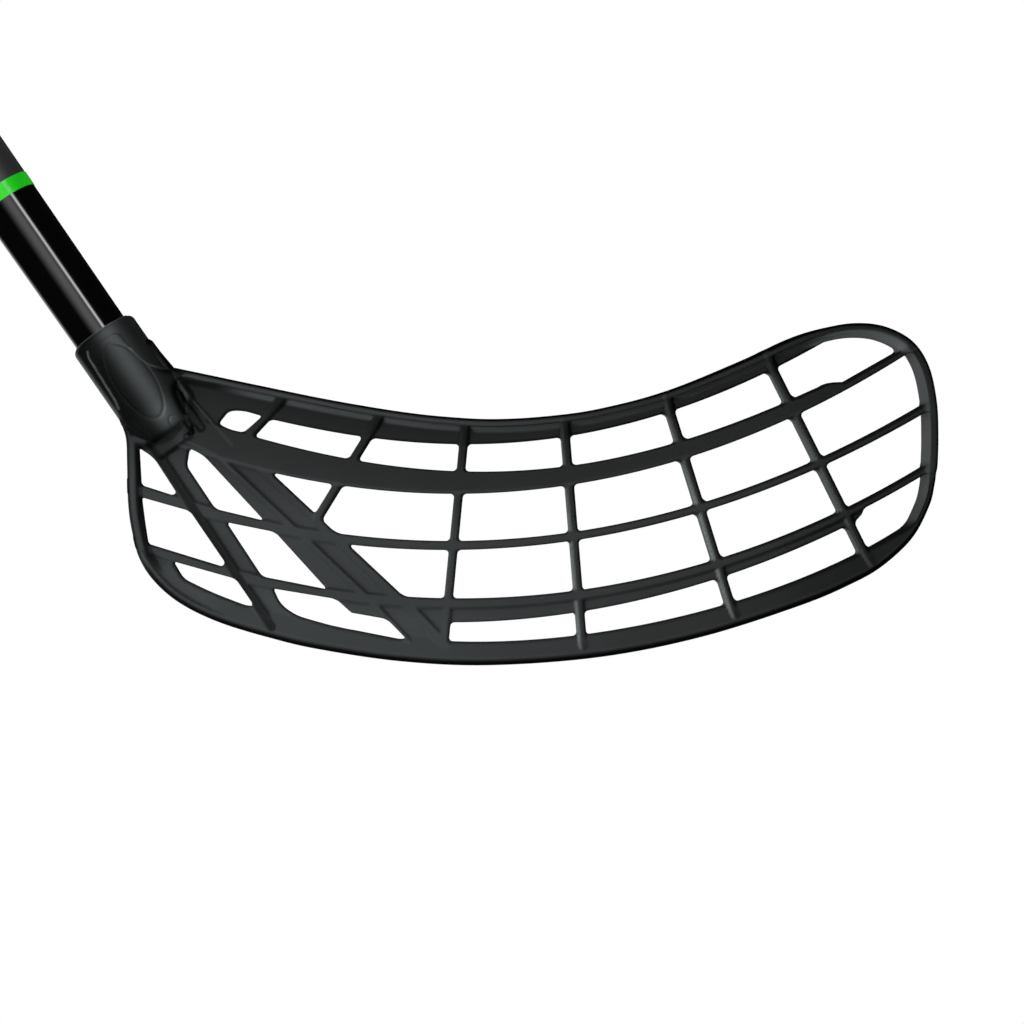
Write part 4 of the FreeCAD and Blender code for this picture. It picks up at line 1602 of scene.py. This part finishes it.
    def shade(self, u: Array, w: Array) -> Array:
        """Painted light and shade on the plastic: dark at the outer edge, lighter inside the rim and towards
        the sole.

        Args:
            u: Distances from the heel.
            w: Heights.

        Returns:
            Multipliers of the base colour.
        """
        rim = self.rim_gap(u, w)
        low = self.sole_share(u, w)
        left = self.heel_share(u, low)
        toe = 1.0 - self.toe_loss * smooth(*self.toe_dark, u)
        edge = smooth(*self.rim_edge, rim) * (1.0 - low) + smooth(*self.sole_edge, rim) * low
        edge = self.outline_tone + (1.0 - self.outline_tone) * edge
        inner = left * smooth(*self.inner_start, rim) * fall(self.inner_end, rim)
        strut = fall(self.strut_side, line_distance(self.ridges["strut_bar"], u, w))
        tone = edge * self.level(u, w) * toe * self.rib_shade(u, w)
        tone = tone * (1.0 - self.strut_loss * strut) * (1.0 - self.inner_loss * inner)
        bright = self.rim_light(u, w, rim, toe) * (1.0 - low) * (1.0 - left)
        bright = bright + self.edge_gain * self.lit_lines(u, w)
        fade = 1.0 - (self.toe_fade + self.sole_fade * low) * smooth(*self.fade_run, u)
        return (tone + bright) * fade

    def row_grid(self) -> tuple[Array, Array]:
        """Grid over the pattern whose rows run from the sole's line to the top edge's line in even shares.

        Returns:
            Distances and heights of the grid points.
        """
        low, high = self.loop.min(axis=0) - self.step, self.loop.max(axis=0) + self.step
        along = np.arange(low[0], high[0], self.step)
        foot, head = self.sole_line.height(along), self.top_line.height(along)
        rows = np.arange(*self.row_range, self.step * self.row_share / np.mean(head - foot))
        u, share = np.meshgrid(along, rows, indexing="ij")
        return u, foot[:, None] + share * (head - foot)[:, None]

    def build(self) -> bpy.types.Object:
        """Mesh of both faces and of every wall between them.

        Returns:
            The lattice piece.
        """
        plate = Plate(*self.row_grid(), self.solid_gap, self.step)
        height = self.relief(plate.u, plate.w)
        faces = [self.pattern.carried(plate.u, plate.w, side * height) for side in (1.0, -1.0)]
        piece = plate.closed("blade_lattice", *faces, self.wall_rings)
        # Painted light and shade of the faces and walls, kept for the material.
        tone = self.shade(plate.u, plate.w)
        wall = self.wall_shade(plate.u[plate.edge], plate.w[plate.edge])
        keep_values(piece, SHADE, np.concatenate([tone, tone, *[wall] * len(self.wall_rings)]))
        weld_points(piece.data, WELD_MM)
        return settle(piece, BLADE_PLASTIC, ["blade"])


# Shaft and what is wound round it

@dataclass(frozen=True)
class Shaft:
    """Tapered tube: thin at the blade, full width from the taper's top to the butt end, with a film band."""

    axis: StickAxis
    lower_radius: float = 9.1
    upper_radius: float = 12.5
    taper_length: float = 430.0
    wall: float = 1.6
    end_short: float = 9.0
    band_above_socket: float = 53.0
    band_height: float = 4.8
    band_thickness: float = 0.2
    stations: int = 97
    sides: int = 128

    @property
    def band_start(self) -> float:
        """Distance of the band's upper edge from the butt end."""
        return self.axis.socket_start - self.band_above_socket - self.band_height

    def radius_at(self, distance: Array) -> Array:
        """Outer radius: linear along the taper, held beyond its ends."""
        share = np.clip((self.axis.socket_start - distance) / self.taper_length, 0.0, 1.0)
        return self.lower_radius + (self.upper_radius - self.lower_radius) * share

    def tube(self) -> bpy.types.Object:
        """Hollow tube, satin above the band and glossy below it.

        Returns:
            The tube piece.
        """
        mouth = self.axis.socket_start
        even = np.linspace(0.0, self.axis.shaft_length - self.end_short, self.stations)
        stations = np.unique(np.concatenate([even, [mouth - self.taper_length, self.band_start, mouth]]))
        outer = self.radius_at(stations)
        distance = np.concatenate([stations, stations[::-1], stations[:1]])
        radius = np.concatenate([outer, outer[::-1] - self.wall, outer[:1]])
        piece = self.axis.turned("shaft_tube", distance, radius, self.sides)
        settle(piece, SHAFT_LACQUER, ["shaft"])
        piece.data.materials.append(SHAFT_SATIN.material())
        centres = np.empty(3 * len(piece.data.polygons))
        piece.data.polygons.foreach_get("center", centres)
        upper = centres.reshape(-1, 3) @ self.axis.down < self.band_start * MM
        piece.data.polygons.foreach_set("material_index", upper.astype(np.int32))
        return piece

    def band(self) -> bpy.types.Object:
        """Film band round the tube.

        Returns:
            The band piece.
        """
        start, end = self.band_start, self.band_start + self.band_height
        ring = np.array([start, start, end, end, start])
        skin = self.radius_at(ring) + np.array([0.0, 1.0, 1.0, 0.0, 0.0]) * self.band_thickness
        piece = self.axis.turned("shaft_colour_band", ring, skin, self.sides)
        return settle(piece, BAND_FILM, ["shaft_band"])

    def build(self) -> None:
        """Make the tube and its band."""
        self.tube()
        self.band()


@dataclass(frozen=True)
class Grip:
    """Cushioned tape wound round the upper shaft, and the narrow tape that holds its end.

    A lead says how far above the finishing tape a change of thickness starts.
    """

    shaft: Shaft
    length: float = 330.0
    thickness: float = 2.0
    end_thickness: float = 0.6
    pitch: float = 22.0
    lap_depth: float = 0.55
    lap_share: float = 0.16
    lap_edge_share: float = 0.035
    swell: float = 0.18
    butt_fade: Span = (0.0, 3.0)
    lap_lead: float = 6.0
    thin_lead: float = 3.0
    press_lead: float = 2.0
    tape_width: float = 19.0
    tape_thickness: float = 0.4
    tape_overlap: float = 9.0
    tape_past: float = 1.0
    tape_edge: Span = (0.0, 0.5)
    tape_edge_share: float = 0.3
    tape_rows: int = 40
    row_step: float = 0.6
    sides: int = 88

    @property
    def tape_start(self) -> float:
        """Distance of the finishing tape's upper edge from the butt end."""
        return self.length - self.tape_overlap

    def wound(self, distance: Array, angle: Array) -> Array:
        """Depth below the full radius: a groove along a helix, steep on one side, and slack between turns.

        The phase is the distance over the pitch less the share of a turn, without its whole part.

        Args:
            distance: Distances from the butt end.
            angle: Angles round the axis.

        Returns:
            Depths, at most the lap's depth plus the swell.
        """
        phase = np.mod(distance / self.pitch - angle / (2 * math.pi), 1.0)
        groove = fall((0.0, self.lap_share), phase) + smooth(1.0 - self.lap_edge_share, 1.0, phase)
        return self.lap_depth * groove + self.swell * np.square(2 * phase - 1.0)

    def sleeve(self) -> bpy.types.Object:
        """Wound sleeve from the butt end, pressed thin under the finishing tape.

        Returns:
            The sleeve piece.
        """
        start, base = self.tape_start, self.shaft.upper_radius
        full = base + self.thickness
        distance = np.linspace(0.0, self.length, int(self.length / self.row_step))
        d, a = np.meshgrid(distance, full_turn(self.sides), indexing="ij")
        laps = self.wound(d, a) * smooth(*self.butt_fade, d) * fall((start - self.lap_lead, start), d)
        r = full - laps - self.tape_thickness * smooth(start - self.thin_lead, start, d)
        press = smooth(start - self.press_lead, self.length, d)
        r = r - (full - self.tape_thickness - base - self.end_thickness) * press
        inner = np.full((1, self.sides), base)
        distances = np.vstack([d, d[-1:], d[:1], d[:1]])
        radii = np.vstack([r, inner, inner, r[:1]])
        points = self.shaft.axis.ring(distances, radii, np.vstack([a, a[:3]])).reshape(-1, 3)
        faces = grid_faces(len(distances), self.sides, True)[:, ::-1]
        piece = make_piece("grip_wound_tape", points, faces, weld=True)
        return settle(piece, GRIP_TAPE, ["grip_wrap"])

    def end_tape(self) -> bpy.types.Object:
        """Ring of finishing tape over the sleeve's end, thinner at its own edges.

        Returns:
            The tape piece.
        """
        start, base = self.tape_start, self.shaft.upper_radius
        run = np.linspace(start, start + self.tape_width, self.tape_rows)
        press = smooth(start - self.press_lead, self.length + self.tape_past, run)
        top = base + self.thickness - (self.thickness - self.tape_thickness) * press
        to_edge = np.minimum(run - run[0], run[-1] - run)
        top = top - self.tape_edge_share * self.tape_thickness * fall(self.tape_edge, to_edge)
        distance = np.concatenate([run, run[[-1, 0, 0]]])
        radius = np.concatenate([top, [base, base], top[:1]])
        piece = self.shaft.axis.turned("grip_end_tape", distance, radius, self.sides)
        return settle(piece, FINISHING_TAPE, ["grip_finishing_tape"])

    def build(self) -> None:
        """Make the sleeve and the tape over its end."""
        self.sleeve()
        self.end_tape()


@dataclass(frozen=True)
class EndCap:
    """Plug in the butt end under a rounded head, with a shallow dish in its end face."""

    axis: StickAxis
    head_radius: float = 14.0
    head_height: float = 5.0
    fillet: float = 2.2
    fillet_points: int = 10
    dish_radius: float = 8.4
    dish_depth: float = 0.7
    dish_slope: float = 0.8
    plug_radius: float = 10.8
    plug_wall: float = 2.0
    plug_length: float = 28.0
    chamfer: float = 0.3
    sides: int = 96

    def build(self) -> bpy.types.Object:
        """Closed profile from the dish's middle over the head and round the plug, carried round the axis.

        Returns:
            The cap piece.
        """
        turn = np.linspace(0.0, math.pi / 2, self.fillet_points)
        end, plug_end = -self.head_height, self.plug_length
        inner = self.plug_radius - self.plug_wall
        flat = self.head_radius - self.fillet
        distance = np.concatenate([
            [end + self.dish_depth, end + self.dish_depth, end],
            end + self.fillet * (1.0 - np.cos(turn)),
            [-self.chamfer, 0.0, 0.0, plug_end - self.chamfer, plug_end, plug_end, 0.0, 0.0],
        ])
        radius = np.concatenate([
            [0.0, self.dish_radius, self.dish_radius + self.dish_slope],
            flat + self.fillet * np.sin(turn),
            [self.head_radius, self.head_radius - self.chamfer, self.plug_radius, self.plug_radius],
            [self.plug_radius - self.chamfer, inner, inner, 0.0],
        ])
        cap = self.axis.turned("butt_cap", distance, radius, self.sides)
        return settle(cap, CAP_PLASTIC, ["end_cap"])


@dataclass(frozen=True)
class SocketScrew:
    """Pan-head screw in the back of the socket, with a cross recess."""

    axis: StickAxis
    name: str
    place: float
    seat: float = 10.3
    head_radius: float = 3.2
    head_height: float = 2.0
    fillet: float = 0.8
    fillet_points: int = 7
    face_points: int = 26
    crown: float = 0.25
    shank_radius: float = 1.6
    shank_length: float = 8.0
    tip_length: float = 1.0
    recess_depth: float = 1.1
    arm_half: float = 0.42
    arm_side: Span = (-0.1, 0.12)
    arm_length: float = 1.75
    arm_end: Span = (-0.1, 0.3)
    sides: int = 96

    def recess(self, x: Array, z: Array) -> Array:
        """Depth of a cross: full where either arm's width and length both hold, with narrow sloping sides.

        Args:
            x: Distances right of the screw's middle.
            z: Distances above it.

        Returns:
            Depths below the head's face.
        """
        arms = []
        for p, q in ((x, z), (z, x)):
            inside = smooth(*self.arm_side, self.arm_half - np.abs(p))
            arms.append(inside * smooth(*self.arm_end, self.arm_length - np.abs(q)))
        return self.recess_depth * np.maximum(*arms)

    def build(self) -> bpy.types.Object:
        """Rings from the crown's middle over the head, under it and down the shank to its tip.

        Returns:
            The screw piece.
        """
        turn = np.linspace(0.0, math.pi / 2, self.fillet_points)[1:]
        flat = self.head_radius - self.fillet
        top, tip = self.seat + self.head_height, self.seat - self.shank_length
        face = np.linspace(0.0, flat, self.face_points)
        radius = np.concatenate([
            face,
            flat + self.fillet * np.sin(turn),
            [self.head_radius, self.shank_radius, self.shank_radius, 0.0],
        ])
        depth = np.concatenate([
            top - self.crown * np.square(face / flat),
            top - self.crown - (self.fillet - self.crown) * (1.0 - np.cos(turn)),
            [self.seat, self.seat, tip + self.tip_length, tip],
        ])
        r, a = np.meshgrid(radius, full_turn(self.sides), indexing="ij")
        on_face = np.arange(len(radius))[:, None] < len(face)
        y = depth[:, None] - self.recess(r * np.cos(a), r * np.sin(a)) * on_face
        centre = self.axis.down * (self.axis.socket_start + self.place)
        points = centre + np.stack([r * np.cos(a), y, r * np.sin(a)], axis=-1)
        faces = grid_faces(len(radius), self.sides, True)
        screw = make_piece(self.name + "_dressed", points.reshape(-1, 3), faces, weld=True)
        return settle(screw, SCREW_STEEL, [self.name])


# Stage

class ValueNet:
    """Short way to chain number nodes in a node tree."""

    def __init__(self, tree: bpy.types.NodeTree) -> None:
        """Keep the tree that nodes are added to."""
        self.tree = tree

    def add(self, kind: str) -> bpy.types.Node:
        """Add a node of a kind."""
        return self.tree.nodes.new(kind)

    def join(self, source: Output, target: bpy.types.NodeSocket) -> None:
        """Link an output to an input."""
        self.tree.links.new(source, target)

    def dot(self, vector: Output, way: Sequence[float]) -> Output:
        """Share of a vector along a fixed direction.

        Args:
            vector: Output that gives the vector.
            way: The direction, of length 1.

        Returns:
            The scalar product's output.
        """
        node = self.add("ShaderNodeVectorMath")
        node.operation = "DOT_PRODUCT"
        self.join(vector, node.inputs[0])
        node.inputs[1].default_value = tuple(way)
        return node.outputs["Value"]

    def math(self, kind: str, first: Output, second: Union[Output, float] = 0.0) -> Output:
        """One arithmetic step.

        Args:
            kind: The node's operation.
            first: Output that gives the first value.
            second: The second value, a number or another output.

        Returns:
            The result's output.
        """
        node = self.add("ShaderNodeMath")
        node.operation = kind
        self.join(first, node.inputs[0])
        if isinstance(second, bpy.types.NodeSocket):
            self.join(second, node.inputs[1])
        else:
            node.inputs[1].default_value = second
        return node.outputs["Value"]

    def step(self, value: Output, low: float, high: float) -> Output:
        """Smooth step from 0 at low to 1 at high.

        Args:
            value: Output that gives the value.
            low: Where the step starts.
            high: Where it ends, which may lie below its start.

        Returns:
            The step's output.
        """
        node = self.add("ShaderNodeMapRange")
        node.interpolation_type = "SMOOTHSTEP"
        self.join(value, node.inputs["Value"])
        node.inputs["From Min"].default_value = min(low, high)
        node.inputs["From Max"].default_value = max(low, high)
        node.inputs["To Min"].default_value = 0.0 if low < high else 1.0
        node.inputs["To Max"].default_value = 1.0 if low < high else 0.0
        return node.outputs["Result"]

    def product(self, *values: Output) -> Output:
        """Product of several outputs.

        Args:
            values: The outputs.

        Returns:
            The product's output.
        """
        result = values[0]
        for value in values[1:]:
            result = self.math("MULTIPLY", result, value)
        return result

    def weighted(self, terms: Sequence[tuple[Output, float]], base: float) -> Output:
        """Sum of outputs times weights, over a base value.

        Args:
            terms: Each output with its weight.
            base: The base value.

        Returns:
            The sum's output.
        """
        result = self.math("ADD", self.math("MULTIPLY", *terms[0]), base)
        for value, weight in terms[1:]:
            result = self.math("ADD", result, self.math("MULTIPLY", value, weight))
        return result


@dataclass(frozen=True)
class Lamp:
    """Soft square lamp aimed at the picture's centre, which glossy surfaces do not mirror."""

    name: str
    offset: tuple[float, float, float]
    size: float
    watts: float

    def build(self, centre: Array) -> None:
        """Make the lamp.

        Args:
            centre: The picture's centre in millimetres.
        """
        data = bpy.data.lights.new(self.name, "AREA")
        data.size = self.size * MM
        data.energy = self.watts
        lamp = bpy.data.objects.new(self.name, data)
        place = np.array(self.offset)
        lamp.location = (centre + place) * MM
        lamp.rotation_euler = Vector(-place).to_track_quat("-Z", "Y").to_euler()
        lamp.visible_camera = False
        lamp.visible_glossy = False
        bpy.context.scene.collection.objects.link(lamp)


@dataclass(frozen=True)
class Stage:
    """Pale floor, white surround, soft lamps and the photograph's camera.

    A span is a range of a ray's direction along an axis, from where a panel is dark to where it is full.
    """

    pattern: BladePattern
    clip_metres: tuple[float, float] = (0.01, 100.0)
    floor_below: float = 700.0
    floor_half: float = 1400.0
    floor_rough: float = 0.9
    floor_glow: float = 0.9
    floor_tone: float = 0.85
    floor_bounce: float = 0.02
    room: float = 0.01
    panel_front: Span = (0.3, 0.7)
    glow: float = 1.0
    glow_left: Span = (-0.55, 0.05)
    glow_right: Span = (0.50, 0.14)
    strip: float = 6.0
    strip_left: Span = (0.35, 0.46)
    strip_right: Span = (0.58, 0.48)
    strip_ends: Span = (0.5, 0.25)
    back: float = 0.6
    back_front: Span = (-0.55, -0.85)
    back_right: Span = (0.05, -0.2)
    lamps: tuple[Lamp, ...] = (
        Lamp("key_left", (-950.0, -750.0, -380.0), size=600.0, watts=14.5),
        Lamp("back_left", (-900.0, 1000.0, 200.0), size=900.0, watts=12.0),
        Lamp("back_right", (800.0, 1100.0, 700.0), size=900.0, watts=14.0),
        Lamp("fill_top", (-500.0, -1000.0, 900.0), size=900.0, watts=2.6),
    )

    @property
    def picture_centre(self) -> Array:
        """Point of the shaft's plane at the picture's centre."""
        dx, dz = self.pattern.view.centre_from_corner
        return self.pattern.corner + np.array([dx, 0.0, dz])

    def camera(self) -> None:
        """Level camera at the photograph's distance."""
        view = self.pattern.view
        data = bpy.data.cameras.new("camera")
        data.sensor_width = view.sensor_mm
        data.lens = view.lens_mm
        data.clip_start, data.clip_end = self.clip_metres
        camera = bpy.data.objects.new("camera", data)
        camera.location = (self.picture_centre - np.array([0.0, view.distance, 0.0])) * MM
        camera.rotation_euler = (math.pi / 2, 0.0, 0.0)
        bpy.context.scene.collection.objects.link(camera)
        bpy.context.scene.camera = camera

    def world(self) -> None:
        """White surround for the camera; for all other rays a dark room with soft panels.

        The panels are a glow beside the camera, a narrow strip to its right, and a wall behind on the left.
        """
        world = bpy.data.worlds.new("surround")
        bpy.context.scene.world = world
        world.use_nodes = True
        net = ValueNet(world.node_tree)
        way = net.add("ShaderNodeTexCoord").outputs["Generated"]
        front = net.dot(way, (0.0, -1.0, 0.0))
        across = net.dot(way, self.pattern.axis.right)
        along = net.math("ABSOLUTE", net.dot(way, self.pattern.axis.down))
        near = net.step(front, *self.panel_front)
        glow = net.product(net.step(across, *self.glow_left), net.step(across, *self.glow_right), near)
        strip = net.product(net.step(across, *self.strip_left), net.step(across, *self.strip_right), near)
        strip = net.product(strip, net.step(along, *self.strip_ends))
        back = net.product(net.step(front, *self.back_front), net.step(across, *self.back_right))
        light = net.weighted(((glow, self.glow), (strip, self.strip), (back, self.back)), self.room)
        mix = net.add("ShaderNodeMix")
        net.join(net.add("ShaderNodeLightPath").outputs["Is Camera Ray"], mix.inputs["Factor"])
        net.join(light, mix.inputs["A"])
        mix.inputs["B"].default_value = 1.0
        background = world.node_tree.nodes["Background"]
        background.inputs["Color"].default_value = (1.0, 1.0, 1.0, 1.0)
        net.join(mix.outputs["Result"], background.inputs["Strength"])

    def floor(self) -> None:
        """Pale floor below the stick that shows white to the camera and throws little light back."""
        low = self.picture_centre - np.array([0.0, 0.0, self.floor_below])
        low[1] = 0.0
        corners = np.array([(-1, -1, 0), (1, -1, 0), (1, 1, 0), (-1, 1, 0)])
        floor = make_piece("floor", low + self.floor_half * corners, np.array([[0, 1, 2, 3]]))
        material = bpy.data.materials.new("pale_floor")
        material.use_nodes = True
        shader = material.node_tree.nodes["Principled BSDF"]
        shader.inputs["Roughness"].default_value = self.floor_rough
        shader.inputs["Emission Color"].default_value = (*[self.floor_glow] * 3, 1.0)
        net = ValueNet(material.node_tree)
        seen = net.add("ShaderNodeLightPath").outputs["Is Camera Ray"]
        net.join(seen, shader.inputs["Emission Strength"])
        colour = net.add("ShaderNodeMix")
        colour.data_type = "RGBA"
        colour.inputs["A"].default_value = (*[self.floor_bounce] * 3, 1.0)
        colour.inputs["B"].default_value = (*[self.floor_tone] * 3, 1.0)
        net.join(seen, colour.inputs["Factor"])
        net.join(colour.outputs["Result"], shader.inputs["Base Color"])
        floor.data.materials.append(material)

    def build(self) -> None:
        """Set up camera, surround, floor and lamps."""
        self.camera()
        self.world()
        self.floor()
        for lamp in self.lamps:
            lamp.build(self.picture_centre)
        bpy.context.scene.view_settings.view_transform = "Standard"


def main() -> None:
    """Build every piece in order."""
    logging.basicConfig(level=logging.INFO, format="%(message)s")
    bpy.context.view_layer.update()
    axis = StickAxis()
    pattern = BladePattern(axis, PhotoView())
    Stage(pattern).build()
    socket = SocketShape(pattern)
    socket.build()
    SocketShield(socket).build()
    BladeLattice(pattern, socket).build()
    shaft = Shaft(axis)
    shaft.build()
    Grip(shaft).build()
    EndCap(axis).build()
    for name, place in zip(("blade_screw_upper", "blade_screw_lower"), socket.screw_places):
        SocketScrew(axis, name, place).build()


if __name__ == "__main__":
    main()
